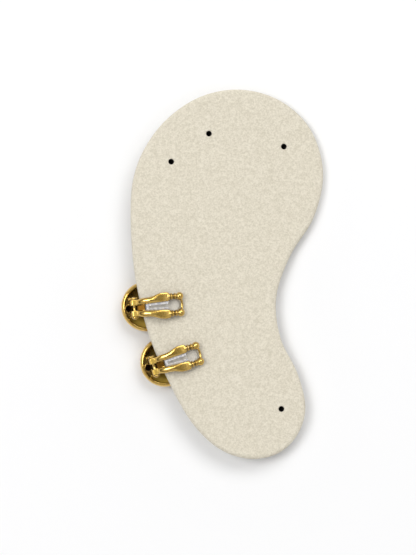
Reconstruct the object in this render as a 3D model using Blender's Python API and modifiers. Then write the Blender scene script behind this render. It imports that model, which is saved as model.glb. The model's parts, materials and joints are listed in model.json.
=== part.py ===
"""Pair of gold clip-on earrings, clipped over the edge of an ear-shaped display pad.

Everything is in metres, with +Z up. The pieces are modelled in the pad's own frame: X across the pad,
Y along it, Z out of its top face, and zero on its flat underside. An earring is modelled in its clip's
frame: zero in the middle of the hinge axis, X towards the balls, Y along the hinge pin.
At the end the whole object is tilted to lie as it rests, on its two domes and the pad's far edge.
"""
import math

import bmesh
import bpy
import numpy as np
from mathutils import Matrix, Vector

# Display pad
PAD_WIDTH = 0.0579
PAD_LENGTH = 0.1109
PAD_THICKNESS = 0.0036
PAD_EDGE_ROUND = 0.0010
STUD_HOLE_RADIUS = 0.00085
STUD_HOLE_DEPTH = 0.0028

# Columns: across, along. Shares of half the pad's width and of half its length, clockwise from the top.
PAD_OUTLINE = (
    (0.130, 1.001),
    (0.546, 0.943),
    (0.865, 0.790),
    (1.001, 0.552),
    (0.902, 0.308),
    (0.656, 0.099),
    (0.508, -0.130),
    (0.552, -0.346),
    (0.734, -0.546),
    (0.810, -0.736),
    (0.718, -0.879),
    (0.523, -0.972),
    (0.238, -1.001),
    (-0.073, -0.950),
    (-0.358, -0.811),
    (-0.611, -0.579),
    (-0.813, -0.330),
    (-0.953, -0.022),
    (-1.001, 0.270),
    (-0.978, 0.508),
    (-0.865, 0.673),
    (-0.632, 0.836),
    (-0.280, 0.960),
)
# Columns: across, along. The same shares, for the four stud holes.
STUD_HOLES = (
    (-0.585, 0.606),
    (-0.193, 0.759),
    (0.588, 0.691),
    (0.557, -0.731),
)

# Button: the round domed front, hollow at the back
BUTTON_RADIUS = 0.00756
BUTTON_LIP_RADIUS = 0.00670
BUTTON_DEPTH = 0.0047
BUTTON_EDGE_DROP = 0.0014
BUTTON_WALL = 0.00065
BUTTON_TO_PAD_GAP = 0.0003
BUTTON_FROM_HINGE = 0.0038
BUTTON_SIDE_SHIFT = 0.0003

# Columns: wall, height. The inside of the button's lip, from its crest down: how far it lies inside the
# lip's circle, as a share of the wall, and how high it lies, as a share of the edge's drop.
LIP_INSIDE = (
    (0.55, 0.88),
    (0.27, 0.50),
)

# Hinge bracket, soldered across the button's back
STRAP_WIDTH = 0.0060
STRAP_THICKNESS = 0.0007
STRAP_BELOW_RIM = 0.0002
COLLAR_HOLE_RADIUS = 0.00095
COLLAR_WALL = 0.00027
COLLAR_HEIGHT = 0.00015
COLLAR_FROM_LIP = 0.00018
EAR_THICKNESS = 0.0004
EAR_WALL = 0.00045
EAR_FOOT_FRONT = 0.0012
EAR_FOOT_BACK = 0.0013
EAR_ROUND_START = math.radians(-12)
EAR_ROUND_END = math.radians(200)

# Hinge
HINGE_BELOW_PAD_TOP = 0.0002
KNUCKLE_TO_PAD_GAP = 0.00095
KNUCKLE_WALL = 0.00055
KNUCKLE_SQUARENESS = 3.2
PIN_RADIUS = 0.0004
PIN_CLEARANCE = 0.0001
PIN_HEAD_OVERLAP = 0.0002
PIN_HEAD_HEIGHT = 0.00032
PIN_HEAD_GAP = 0.00005
EAR_TO_KNUCKLE_GAP = 0.0001

# Spring leaf, flat on the strap and bent up behind the knuckles
LEAF_THICKNESS = 0.00022
LEAF_WIDTH = 0.0032
LEAF_SEAT_GAP = 0.0001
LEAF_FLAT_LENGTH = 0.0032
LEAF_BEND_START = 0.0014
LEAF_CORNER = 0.0005
LEAF_TIP_BACK = 0.0008
LEAF_TO_KNUCKLE_GAP = 0.0003

# Lever: knuckles, arms that widen to paddles, ribbed necks, balls and the bar between them
LEVER_REACH = 0.0136
LEVER_HALF_WIDTH = 0.0039
LEVER_RISE = 0.0032
ARM_DEPTH = 0.0013
SLOT_WIDTH_AT_HINGE = 0.0016
SLOT_WIDTH_AT_NECK = 0.0026
WEB_THICKNESS = 0.0005
WEB_START = 0.00078
WEB_END = 0.0031
WEB_START_RISE = 0.00035
WEB_END_RISE = 0.00095
WEB_INTO_ARMS = 0.00025
NECK_RADIUS = 0.00074
NECK_RIB_RADIUS = 0.00104
BALL_RADIUS = 0.0012
BALL_SPACING = 0.0049
BALL_TO_PAD_GAP = 0.0003
CROSSBAR_RADIUS = 0.00036
CROSSBAR_BOW = 0.0006
CROSSBAR_DROP = 0.0004

# The neck's ribs, in shares of its free length: where each is, and half the length of its foot and crest
NECK_RIB_PLACES = (0.82, 0.46)
NECK_RIB_FOOT = 0.13
NECK_RIB_CREST = 0.05

# Columns: reach, inner, outer, top, depth, squareness. The reach is a share of LEVER_REACH. The inner and
# outer edges are shares of the way from the slot and from the knuckle's outer face to LEVER_HALF_WIDTH.
# The top and the depth are shares of LEVER_RISE and ARM_DEPTH. The squareness is the section's exponent,
# 2 for an oval and 5 for a nearly flat top.
ARM_SECTIONS = (
    (0.030, 0.00, 0.00, 0.30, 1.00, 2.6),
    (0.095, 0.00, 0.03, 0.53, 1.15, 2.2),
    (0.190, 0.00, 0.24, 0.76, 1.12, 2.0),
    (0.300, 0.00, 0.27, 0.89, 1.04, 2.0),
    (0.400, 0.00, 0.42, 0.96, 0.98, 2.2),
    (0.490, 0.00, 0.72, 1.00, 0.94, 2.8),
    (0.570, 0.00, 0.95, 1.00, 0.92, 4.4),
    (0.660, 0.00, 1.00, 0.97, 0.90, 5.4),
    (0.730, 0.00, 0.98, 0.92, 0.90, 5.4),
    (0.765, 0.04, 0.86, 0.885, 0.86, 4.4),
    (0.785, 0.14, 0.58, 0.86, 0.76, 3.0),
)
# The row of the table where the neck starts inside the paddle
NECK_START_ROW = -3

# Comfort pad: a bevelled clear tongue between the arms, and a round disc between the necks
TONGUE_TO_WEB_GAP = 0.0003
TONGUE_INTO_DISC = 0.0004
TONGUE_SIDE_GAP = 0.0001
TONGUE_BELOW_ARMS = 0.00015
TONGUE_BEVEL_DROP = 0.0005
TONGUE_END_DROP = 0.000125
TONGUE_FLAT_SHARE = 0.42
TONGUE_SIDE_DEPTH = 0.00055
TONGUE_FOOT_ABOVE_DISC = 0.00015
DISC_RADIUS = 0.0017
DISC_THICKNESS = 0.0006
DISC_BEHIND_BALLS = 0.0020
DISC_TO_PAD_GAP = 0.0003
DISC_STEP_GAP = 0.00005

# Columns: along, bevel, dip. How far along from the tongue's start to the disc's edge, how much of the end
# bevel its top has taken, and how far its foot has dropped to the disc.
TONGUE_SECTIONS = (
    (0.00, 1.0, 0.0),
    (0.11, 0.0, 0.0),
    (0.40, 0.0, 0.0),
    (0.68, 0.0, 0.0),
    (0.84, 0.0, 0.5),
    (0.96, 0.0, 1.0),
)

# Places of the two clips: how far along the pad's left edge (share of half its length), and the skew of
# the lever from square to that edge
CLIP_PLACES = {
    "lower": {"along": -0.489, "skew": math.radians(-7.9)},
    "upper": {"along": -0.183, "skew": math.radians(-9.2)},
}

# Faceting
OUTLINE_STEPS = 4
EDGE_SEGMENTS = 3
HOLE_SIDES = 16
BUTTON_SIDES = 40
DOME_STEPS = 7
LIP_STEPS = 4
STRAP_END_STEPS = 6
EAR_STEPS = 10
PIN_SIDES = 14
PIN_HEAD_STEPS = 3
LEAF_STEPS = 5
FINIAL_SIDES = 14
BALL_STEPS = 6
CROSSBAR_STEPS = 8
CROSSBAR_ROUND_STEPS = 2
SECTION_POINTS = 14
KNUCKLE_SIDES = 16
CUT_MARGIN = 0.001
WELD_DISTANCE = 0.000001
FLAT_ANGLE = math.radians(0.1)
BEVEL_ANGLE = math.radians(40)
SMOOTH_ANGLE = math.radians(35)

# Search for the tilt at rest
TILT_LIMIT = math.radians(20)
TILT_HALVINGS = 60

# Colours: red, green, blue; roughness; metallic; opacity
FINISHES = {
    "suede": ((0.68, 0.62, 0.50), 0.95, 0.0, 1.0),
    "gold": ((0.83, 0.60, 0.22), 0.18, 1.0, 1.0),
    "clear": ((0.88, 0.89, 0.92), 0.12, 0.0, 0.4),
}


def clear_scene():
    """Remove the objects and meshes that the file starts with."""
    for obj in list(bpy.data.objects):
        bpy.data.objects.remove(obj, do_unlink=True)
    for mesh in list(bpy.data.meshes):
        bpy.data.meshes.remove(mesh)


def new_collection(name):
    """A collection in the scene."""
    collection = bpy.data.collections.new(name)
    bpy.context.scene.collection.children.link(collection)
    return collection


def finish_material(finish, node_name):
    """A Principled material for one node."""
    colour, roughness, metallic, opacity = FINISHES[finish]
    material = bpy.data.materials.new(f"{finish}_{node_name}")
    material.use_nodes = True
    shader = material.node_tree.nodes["Principled BSDF"]
    shader.inputs["Base Color"].default_value = (*colour, 1.0)
    shader.inputs["Roughness"].default_value = roughness
    shader.inputs["Metallic"].default_value = metallic
    shader.inputs["Alpha"].default_value = opacity
    return material


def workpiece(name, mesh):
    """A loose object for a mesh that is still being joined and cut."""
    obj = bpy.data.objects.new(name, mesh)
    bpy.context.scene.collection.objects.link(obj)
    return obj


def baked_mesh(obj):
    """The object's evaluated mesh, with its place and turn applied, and its seams welded."""
    bpy.context.view_layer.update()
    graph = bpy.context.evaluated_depsgraph_get()
    mesh = bpy.data.meshes.new_from_object(obj.evaluated_get(graph))
    mesh.transform(obj.matrix_world)
    weld = bmesh.new()
    weld.from_mesh(mesh)
    bmesh.ops.remove_doubles(weld, verts=weld.verts, dist=WELD_DISTANCE)
    weld.to_mesh(mesh)
    weld.free()
    return mesh


def baked(obj):
    """Replace an object by a plain one with its evaluated mesh."""
    mesh = baked_mesh(obj)
    name = obj.name
    bpy.data.objects.remove(obj, do_unlink=True)
    return workpiece(name, mesh)


def combined(base, steps):
    """One mesh from a base and a list of (object, operation), each joined or cut in turn."""
    for tool, operation in steps:
        modifier = base.modifiers.new(operation.title(), "BOOLEAN")
        modifier.operation = operation
        modifier.object = tool
    mesh = baked_mesh(base)
    for obj in [base] + [tool for tool, _ in steps]:
        bpy.data.objects.remove(obj, do_unlink=True)
    return mesh


def from_bmesh(name, shape):
    """A loose object for a bmesh, which is freed."""
    mesh = bpy.data.meshes.new(name)
    shape.to_mesh(mesh)
    shape.free()
    return workpiece(name, mesh)


def cylinder(name, radius, start, end, sides=HOLE_SIDES):
    """A closed cylinder between two points."""
    start, end = Vector(start), Vector(end)
    shape = bmesh.new()
    bmesh.ops.create_cone(
        shape,
        cap_ends=True,
        segments=sides,
        radius1=radius,
        radius2=radius,
        depth=(end - start).length,
    )
    turn = Vector((0, 0, 1)).rotation_difference(end - start)
    place = Matrix.Translation((start + end) / 2) @ turn.to_matrix().to_4x4()
    bmesh.ops.transform(shape, matrix=place, verts=shape.verts)
    return from_bmesh(name, shape)


def turned(name, profile, sides):
    """A solid turned round Z from a profile of (radius, height), which runs down its outer side."""
    shape = bmesh.new()
    points = [shape.verts.new((radius, 0, height)) for radius, height in profile]
    for first, second in zip(points, points[1:]):
        shape.edges.new((first, second))
    obj = from_bmesh(name, shape)
    screw = obj.modifiers.new("Turn", "SCREW")
    screw.axis = "Z"
    screw.steps = sides
    screw.render_steps = sides
    screw.use_merge_vertices = True
    screw.merge_threshold = WELD_DISTANCE
    return baked(obj)


def flat_slab(name, outline, thickness):
    """A flat outline in X and Y, extruded by half its thickness to each side of zero."""
    curve = bpy.data.curves.new(name, "CURVE")
    curve.dimensions = "2D"
    curve.fill_mode = "BOTH"
    curve.extrude = thickness / 2
    spline = curve.splines.new("POLY")
    spline.points.add(len(outline) - 1)
    for point, (x, y) in zip(spline.points, outline):
        point.co = (x, y, 0, 1)
    spline.use_cyclic_u = True
    obj = bpy.data.objects.new(name, curve)
    bpy.context.scene.collection.objects.link(obj)
    obj = baked(obj)
    shape = bmesh.new()
    shape.from_mesh(obj.data)
    bmesh.ops.dissolve_limit(shape, angle_limit=FLAT_ANGLE, verts=shape.verts, edges=shape.edges)
    shape.to_mesh(obj.data)
    shape.free()
    return obj


def upright_slab(name, outline, thickness, middle):
    """A slab whose outline is in X and Z, with its middle at the given Y."""
    obj = flat_slab(name, outline, thickness)
    obj.rotation_euler = (math.pi / 2, 0, 0)
    obj.location = (0, middle, 0)
    return baked(obj)


def loft(name, rings):
    """A closed body through rings of points, each with as many points as the next."""
    shape = bmesh.new()
    loops = [[shape.verts.new(point) for point in ring] for ring in rings]
    count = len(loops[0])
    for low, high in zip(loops, loops[1:]):
        for i in range(count):
            j = (i + 1) % count
            shape.faces.new((low[i], low[j], high[j], high[i]))
    shape.faces.new(list(reversed(loops[0])))
    shape.faces.new(loops[-1])
    bmesh.ops.recalc_face_normals(shape, faces=shape.faces)
    return from_bmesh(name, shape)


def oval(half_width, half_height, squareness, count):
    """Points round a superellipse: an oval at 2, nearer a rounded box above it."""
    points = []
    for i in range(count):
        angle = 2 * math.pi * (i + 0.5) / count
        c, s = math.cos(angle), math.sin(angle)
        points.append(
            (
                half_width * math.copysign(abs(c) ** (2 / squareness), c),
                half_height * math.copysign(abs(s) ** (2 / squareness), s),
            )
        )
    return points


def between(start, end, start_time, end_time, time):
    """The point on the line through two timed points at a given time."""
    return start.lerp(end, (time - start_time) / (end_time - start_time))


def closed_curve(knots, steps):
    """Points on a smooth closed curve through the knots (centripetal Catmull-Rom)."""
    knots = [Vector(knot) for knot in knots]
    count = len(knots)
    points = []
    for i in range(count):
        a, b, c, d = (knots[(i + k) % count] for k in (-1, 0, 1, 2))
        ta = 0.0
        tb = ta + math.sqrt((b - a).length)
        tc = tb + math.sqrt((c - b).length)
        td = tc + math.sqrt((d - c).length)
        for step in range(steps):
            t = tb + (tc - tb) * step / steps
            ab = between(a, b, ta, tb, t)
            bc = between(b, c, tb, tc, t)
            cd = between(c, d, tc, td, t)
            points.append(between(between(ab, bc, ta, tc, t), between(bc, cd, tb, td, t), tb, tc, t))
    return points


def pad_outline():
    """The pad's outline, in metres."""
    knots = [(x * PAD_WIDTH / 2, y * PAD_LENGTH / 2) for x, y in PAD_OUTLINE]
    return closed_curve(knots, OUTLINE_STEPS)


def left_edge(along):
    """The point of the pad's left edge at a share of its half length, and the way into the pad there."""
    height = along * PAD_LENGTH / 2
    outline = pad_outline()
    for first, second in zip(outline, outline[1:] + outline[:1]):
        if first.x < 0 and first.y <= height < second.y:
            share = (height - first.y) / (second.y - first.y)
            tangent = (second - first).normalized()
            return first.lerp(second, share), Vector((tangent.y, -tangent.x))
    raise ValueError("the left edge does not reach that far")


def clip_frame(place):
    """The matrix from a clip's own frame to the pad's frame."""
    edge, inward = left_edge(place["along"])
    reach = Matrix.Rotation(place["skew"], 2) @ inward
    hinge = edge - reach * (knuckle_sweep() + KNUCKLE_TO_PAD_GAP)
    turn = Matrix.Rotation(math.atan2(reach.y, reach.x), 4, "Z")
    return Matrix.Translation((hinge.x, hinge.y, PAD_THICKNESS - HINGE_BELOW_PAD_TOP)) @ turn


def bore_radius():
    """The bore that the pin runs in."""
    return PIN_RADIUS + PIN_CLEARANCE


def knuckle_radius():
    """Half the width of the squarish barrel round the pin."""
    return bore_radius() + KNUCKLE_WALL


def knuckle_sweep():
    """How far the barrel's rounded corners reach from the hinge axis."""
    return knuckle_radius() * 2 ** (0.5 - 1 / KNUCKLE_SQUARENESS)


def rim_height():
    """The button's rim plane, in the clip's frame."""
    return HINGE_BELOW_PAD_TOP - PAD_THICKNESS - BUTTON_TO_PAD_GAP


def strap_top():
    """The top of the bracket's strap, in the clip's frame."""
    return rim_height() - STRAP_BELOW_RIM


def display_pad(cutter_collection):
    """The board: a slab with rounded edges and four blind stud holes in its top face."""
    pad = flat_slab("display_pad", pad_outline(), PAD_THICKNESS)
    pad.location.z = PAD_THICKNESS / 2
    pad = baked(pad)
    edge = pad.modifiers.new("Rounded edge", "BEVEL")
    edge.width = PAD_EDGE_ROUND
    edge.segments = EDGE_SEGMENTS
    edge.limit_method = "ANGLE"
    edge.angle_limit = BEVEL_ANGLE
    pad = baked(pad)
    for number, (x, y) in enumerate(STUD_HOLES, start=1):
        centre = (x * PAD_WIDTH / 2, y * PAD_LENGTH / 2)
        hole = cylinder(
            f"stud_hole_{number}",
            STUD_HOLE_RADIUS,
            (*centre, PAD_THICKNESS - STUD_HOLE_DEPTH),
            (*centre, PAD_THICKNESS + CUT_MARGIN),
        )
        bpy.context.scene.collection.objects.unlink(hole)
        cutter_collection.objects.link(hole)
        hole.hide_render = True
        hole.display_type = "WIRE"
        cut = pad.modifiers.new(f"Stud hole {number}", "BOOLEAN")
        cut.operation = "DIFFERENCE"
        cut.object = hole
    return pad


def button_profile():
    """The shell's profile: up the hollow, over the lip, and down the puffed edge and the dome."""
    edge_height = rim_height() - BUTTON_EDGE_DROP
    dome_drop = BUTTON_DEPTH - BUTTON_EDGE_DROP
    puff = BUTTON_RADIUS - BUTTON_LIP_RADIUS
    dome = []
    for i in range(DOME_STEPS + 1):
        angle = math.pi / 2 * i / DOME_STEPS
        dome.append((math.sin(angle), math.cos(angle)))
    inner_radius = BUTTON_RADIUS - BUTTON_WALL
    inner_drop = dome_drop - BUTTON_WALL
    inner = [(inner_radius * s, edge_height - inner_drop * c) for s, c in dome]
    outer = [(BUTTON_RADIUS * s, edge_height - dome_drop * c) for s, c in dome]
    over = []
    for i in range(1, LIP_STEPS + 1):
        angle = math.pi / 2 * i / LIP_STEPS
        over.append(
            (
                BUTTON_RADIUS - puff * (1 - math.cos(angle)),
                edge_height + BUTTON_EDGE_DROP * math.sin(angle),
            )
        )
    lip_inside = [
        (BUTTON_LIP_RADIUS - BUTTON_WALL * wall, edge_height + BUTTON_EDGE_DROP * height)
        for wall, height in LIP_INSIDE
    ]
    return inner + lip_inside[::-1] + over[::-1] + outer[::-1]


def strap_reach():
    """How far the strap's ends reach from the button's middle: into the rim's wall."""
    return (BUTTON_LIP_RADIUS + BUTTON_RADIUS - BUTTON_WALL) / 2


def strap_outline():
    """The strap's outline: straight sides, and ends that follow the middle of the rim's wall."""
    reach = strap_reach()
    half = STRAP_WIDTH / 2
    swing = math.asin(half / reach)
    ends = np.linspace(-swing, swing, STRAP_END_STEPS + 1)
    right = [(reach * math.cos(a), reach * math.sin(a)) for a in ends]
    return right + [(-x, -y) for x, y in right]


def ear_outline(foot):
    """An ear's outline in X and Z: a foot on the strap, and a round top about the pin."""
    radius = bore_radius() + EAR_WALL
    arc = np.linspace(EAR_ROUND_START, EAR_ROUND_END, EAR_STEPS + 1)
    top = [(radius * math.cos(a), radius * math.sin(a)) for a in arc]
    return [(EAR_FOOT_FRONT, foot)] + top + [(-EAR_FOOT_BACK, foot)]


def button():
    """The domed shell with its hinge bracket, in the clip's frame."""
    centre = Vector((BUTTON_FROM_HINGE, BUTTON_SIDE_SHIFT, 0))
    shell = turned("button_shell", button_profile(), BUTTON_SIDES)
    shell.location = centre
    shell = baked(shell)
    top = strap_top()
    strap = flat_slab("strap", strap_outline(), STRAP_THICKNESS)
    strap.location = centre + Vector((0, 0, top - STRAP_THICKNESS / 2))
    strap = baked(strap)
    steps = [(strap, "UNION")]
    ear_middle = STRAP_WIDTH / 2 - EAR_THICKNESS / 2
    for side in (-1, 1):
        ear = upright_slab(
            "ear", ear_outline(top - STRAP_THICKNESS / 2), EAR_THICKNESS, side * ear_middle
        )
        steps.append((ear, "UNION"))
    collar_radius = COLLAR_HOLE_RADIUS + COLLAR_WALL
    middle = BUTTON_FROM_HINGE - BUTTON_LIP_RADIUS + COLLAR_FROM_LIP + collar_radius
    collar = cylinder(
        "collar",
        collar_radius,
        (middle, 0, top - STRAP_THICKNESS / 2),
        (middle, 0, top + COLLAR_HEIGHT),
        2 * HOLE_SIDES,
    )
    hole = cylinder(
        "collar_hole",
        COLLAR_HOLE_RADIUS,
        (middle, 0, top - STRAP_THICKNESS - CUT_MARGIN),
        (middle, 0, top + CUT_MARGIN),
    )
    bore = pin_bore("ear_bore", STRAP_WIDTH / 2 + CUT_MARGIN)
    steps += [(collar, "UNION"), (hole, "DIFFERENCE"), (bore, "DIFFERENCE")]
    return combined(shell, steps)


def pin_bore(name, half_length):
    """A cutter for the pin's bore, with its running clearance."""
    return cylinder(
        name,
        bore_radius(),
        (0, -half_length, 0),
        (0, half_length, 0),
    )


def hinge_pin():
    """The pin: a plain shaft and a low domed head at each end, along Y."""
    seat = STRAP_WIDTH / 2 + PIN_HEAD_GAP
    head_radius = bore_radius() + PIN_HEAD_OVERLAP
    head = []
    for i in range(PIN_HEAD_STEPS + 1):
        angle = math.pi / 2 * i / PIN_HEAD_STEPS
        head.append((head_radius * math.sin(angle), seat + PIN_HEAD_HEIGHT * math.cos(angle)))
    upper = head + [(PIN_RADIUS, seat)]
    profile = upper + [(radius, -height) for radius, height in reversed(upper)]
    pin = turned("hinge_pin", profile, PIN_SIDES)
    pin.rotation_euler = (math.pi / 2, 0, 0)
    return combined(pin, [])


def leaf_path():
    """The leaf's middle line in X and Z: flat on the strap, then bent up behind the pin."""
    low = strap_top() + LEAF_SEAT_GAP + LEAF_THICKNESS / 2
    drop = knuckle_sweep() + LEAF_TO_KNUCKLE_GAP + LEAF_THICKNESS / 2
    tip = Vector((-LEAF_TIP_BACK, -drop))
    bend = Vector((LEAF_BEND_START, low))
    corner = Vector((LEAF_CORNER, low))
    path = [Vector((LEAF_BEND_START + LEAF_FLAT_LENGTH, low))]
    for share in np.linspace(0, 1, LEAF_STEPS + 1):
        path.append(bend.lerp(corner, share).lerp(corner.lerp(tip, share), share))
    return path


def spring_leaf():
    """The spring: one strip of even thickness along its path."""
    path = leaf_path()
    above = []
    below = []
    for i, point in enumerate(path):
        along = (path[min(i + 1, len(path) - 1)] - path[max(i - 1, 0)]).normalized()
        across = Vector((along.y, -along.x)) * LEAF_THICKNESS / 2
        above.append(point + across)
        below.append(point - across)
    return combined(upright_slab("spring_leaf", above + below[::-1], LEAF_WIDTH, 0), [])


def neck_start():
    """How far from the hinge the necks start, inside the paddles."""
    return ARM_SECTIONS[NECK_START_ROW][0] * LEVER_REACH


def slot_half_width(reach):
    """Half the width of the slot between the arms, at a distance from the hinge."""
    share = reach / neck_start()
    return (SLOT_WIDTH_AT_HINGE * (1 - share) + SLOT_WIDTH_AT_NECK * share) / 2


def knuckle_outer():
    """The outer face of a knuckle, just inside its ear."""
    return STRAP_WIDTH / 2 - EAR_THICKNESS - EAR_TO_KNUCKLE_GAP


def arm_section(row):
    """The inner and outer edge, the middle height and half the depth of one row of the arm's table."""
    reach_share, inner_share, outer_share, top, depth, _ = row
    slot = slot_half_width(reach_share * LEVER_REACH)
    root = knuckle_outer()
    inner = slot + inner_share * (LEVER_HALF_WIDTH - slot)
    outer = root + outer_share * (LEVER_HALF_WIDTH - root)
    half_depth = depth * ARM_DEPTH / 2
    return inner, outer, top * LEVER_RISE - half_depth, half_depth


def arm(side):
    """One arm of the lever, lofted through its table of sections."""
    rings = []
    for row in ARM_SECTIONS:
        inner, outer, height, half_depth = arm_section(row)
        middle = side * (inner + outer) / 2
        section = oval((outer - inner) / 2, half_depth, row[-1], SECTION_POINTS)
        rings.append([(row[0] * LEVER_REACH, middle + y, height + z) for y, z in section])
    return loft("arm", rings)


def ball_height():
    """The balls' middle, in the clip's frame."""
    return HINGE_BELOW_PAD_TOP + BALL_TO_PAD_GAP + BALL_RADIUS


def finial_profile(length):
    """Neck, two ribs and ball, as (radius, distance from the neck's start), from the ball down."""
    ball = []
    meet = math.asin(NECK_RADIUS / BALL_RADIUS)
    for angle in np.linspace(0, math.pi - meet, BALL_STEPS + 1):
        ball.append((BALL_RADIUS * math.sin(angle), length + BALL_RADIUS * math.cos(angle)))
    free = length - BALL_RADIUS * math.cos(meet)
    neck = []
    for place in NECK_RIB_PLACES:
        neck += [
            (NECK_RADIUS, free * (place + NECK_RIB_FOOT)),
            (NECK_RIB_RADIUS, free * (place + NECK_RIB_CREST)),
            (NECK_RIB_RADIUS, free * (place - NECK_RIB_CREST)),
            (NECK_RADIUS, free * (place - NECK_RIB_FOOT)),
        ]
    return ball[:-1] + neck + [(NECK_RADIUS, 0), (0, 0)]


def finial(side):
    """The ribbed neck and the ball at the end of one arm."""
    inner, outer, height, _ = arm_section(ARM_SECTIONS[NECK_START_ROW])
    start = Vector((neck_start(), side * (inner + outer) / 2, height))
    ball = Vector((LEVER_REACH, side * BALL_SPACING / 2, ball_height()))
    obj = turned("finial", finial_profile((ball - start).length), FINIAL_SIDES)
    turn = Vector((0, 0, 1)).rotation_difference(ball - start)
    obj.matrix_world = Matrix.Translation(start) @ turn.to_matrix().to_4x4()
    return baked(obj)


def crossbar():
    """The bowed bar that joins the two balls."""
    curve = bpy.data.curves.new("crossbar", "CURVE")
    curve.dimensions = "3D"
    curve.bevel_depth = CROSSBAR_RADIUS
    curve.bevel_resolution = CROSSBAR_ROUND_STEPS
    curve.use_fill_caps = True
    spline = curve.splines.new("POLY")
    shares = np.linspace(-1, 1, CROSSBAR_STEPS + 1)
    spline.points.add(len(shares) - 1)
    for point, share in zip(spline.points, shares):
        bow = 1 - share**2
        point.co = (
            LEVER_REACH + CROSSBAR_BOW * bow,
            share * BALL_SPACING / 2,
            ball_height() - CROSSBAR_DROP * bow,
            1,
        )
    obj = bpy.data.objects.new("crossbar", curve)
    bpy.context.scene.collection.objects.link(obj)
    return baked(obj)


def web():
    """The plate that joins the arms between the hinge and the tongue."""
    rings = []
    for reach, rise in ((WEB_START, WEB_START_RISE), (WEB_END, WEB_END_RISE)):
        half = slot_half_width(reach) + WEB_INTO_ARMS
        rings.append(
            [
                (reach, -half, rise),
                (reach, half, rise),
                (reach, half, rise + WEB_THICKNESS),
                (reach, -half, rise + WEB_THICKNESS),
            ]
        )
    return loft("web", rings)


def knuckle(side):
    """A squarish barrel round the pin."""
    inner = SLOT_WIDTH_AT_HINGE / 2
    outer = knuckle_outer()
    section = oval(knuckle_radius(), knuckle_radius(), KNUCKLE_SQUARENESS, KNUCKLE_SIDES)
    rings = [[(x, side * y, z) for x, z in section] for y in (inner, outer)]
    return loft("knuckle", rings)


def lever():
    """Knuckles, arms, web, necks, balls and crossbar as one solid, bored for the pin."""
    steps = []
    for side in (-1, 1):
        steps.append((arm(side), "UNION"))
    for side in (-1, 1):
        steps.append((knuckle(side), "UNION"))
    for side in (-1, 1):
        steps.append((finial(side), "UNION"))
    steps.append((crossbar(), "UNION"))
    steps.append((pin_bore("knuckle_bore", STRAP_WIDTH / 2), "DIFFERENCE"))
    return combined(web(), steps)


def arm_top(reach):
    """The height of the arms' top at a distance from the hinge."""
    reaches = [row[0] * LEVER_REACH for row in ARM_SECTIONS]
    tops = [row[3] * LEVER_RISE for row in ARM_SECTIONS]
    return float(np.interp(reach, reaches, tops))


def disc_centre():
    """How far from the hinge the comfort pad's disc lies."""
    return LEVER_REACH - DISC_BEHIND_BALLS


def disc_bottom():
    """The underside of the comfort pad's disc, in the clip's frame."""
    return HINGE_BELOW_PAD_TOP + DISC_TO_PAD_GAP


def tongue():
    """The bevelled tongue: a flat top that tapers, bevelled shoulders and a foot that drops to the disc."""
    start = WEB_END + TONGUE_TO_WEB_GAP
    disc_edge = disc_centre() - DISC_RADIUS
    foot = disc_bottom() + TONGUE_FOOT_ABOVE_DISC
    sections = [
        (start + share * (disc_edge - start), bevel, dip) for share, bevel, dip in TONGUE_SECTIONS
    ]
    _, bevel, dip = sections[-1]
    sections.append((disc_edge + TONGUE_INTO_DISC, bevel, dip))
    rings = []
    for reach, bevel, dip in sections:
        half = slot_half_width(reach) - TONGUE_SIDE_GAP
        top = arm_top(reach) - TONGUE_BELOW_ARMS - bevel * TONGUE_BEVEL_DROP
        shoulder = arm_top(reach) - TONGUE_BELOW_ARMS - TONGUE_BEVEL_DROP - bevel * TONGUE_END_DROP
        bottom = (shoulder - TONGUE_SIDE_DEPTH) * (1 - dip) + foot * dip
        flat = half * TONGUE_FLAT_SHARE
        rings.append(
            [
                (reach, -half, bottom),
                (reach, half, bottom),
                (reach, half, shoulder),
                (reach, flat, top),
                (reach, -flat, top),
                (reach, -half, shoulder),
            ]
        )
    return loft("tongue", rings)


def comfort_pad():
    """The clear insert: the tongue, stepped down round the disc that presses on the ear."""
    middle = disc_centre()
    low = disc_bottom()
    high = low + DISC_THICKNESS
    step = cylinder(
        "step",
        DISC_RADIUS + DISC_STEP_GAP,
        (middle, 0, high - DISC_STEP_GAP),
        (middle, 0, high + LEVER_RISE),
        2 * HOLE_SIDES,
    )
    disc = cylinder("disc", DISC_RADIUS, (middle, 0, low), (middle, 0, high), 2 * HOLE_SIDES)
    return combined(tongue(), [(step, "DIFFERENCE"), (disc, "UNION")])


def add_node(name, mesh, finish, collection, parent):
    """One named object of the model, with its own material, riding on its parent."""
    own_mesh = mesh.copy()
    own_mesh.name = name
    own_mesh.materials.clear()
    own_mesh.materials.append(finish_material(finish, name))
    own_mesh.shade_smooth()
    own_mesh.set_sharp_from_angle(angle=SMOOTH_ANGLE)
    obj = bpy.data.objects.new(name, own_mesh)
    collection.objects.link(obj)
    obj.parent = parent
    return obj


def add_empty(name, matrix, collection, parent):
    """A guide that places what hangs on it."""
    empty = bpy.data.objects.new(name, None)
    collection.objects.link(empty)
    empty.parent = parent
    empty.matrix_local = matrix
    empty.empty_display_size = BUTTON_RADIUS
    return empty


def world_points(objects):
    """All evaluated vertices of some objects, as rows of X, Y, Z."""
    bpy.context.view_layer.update()
    graph = bpy.context.evaluated_depsgraph_get()
    rows = []
    for obj in objects:
        evaluated = obj.evaluated_get(graph)
        mesh = evaluated.to_mesh()
        flat = np.empty(len(mesh.vertices) * 3)
        mesh.vertices.foreach_get("co", flat)
        place = np.array(evaluated.matrix_world)
        rows.append(flat.reshape(-1, 3) @ place[:3, :3].T + place[:3, 3])
        evaluated.to_mesh_clear()
    return np.vstack(rows)


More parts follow.
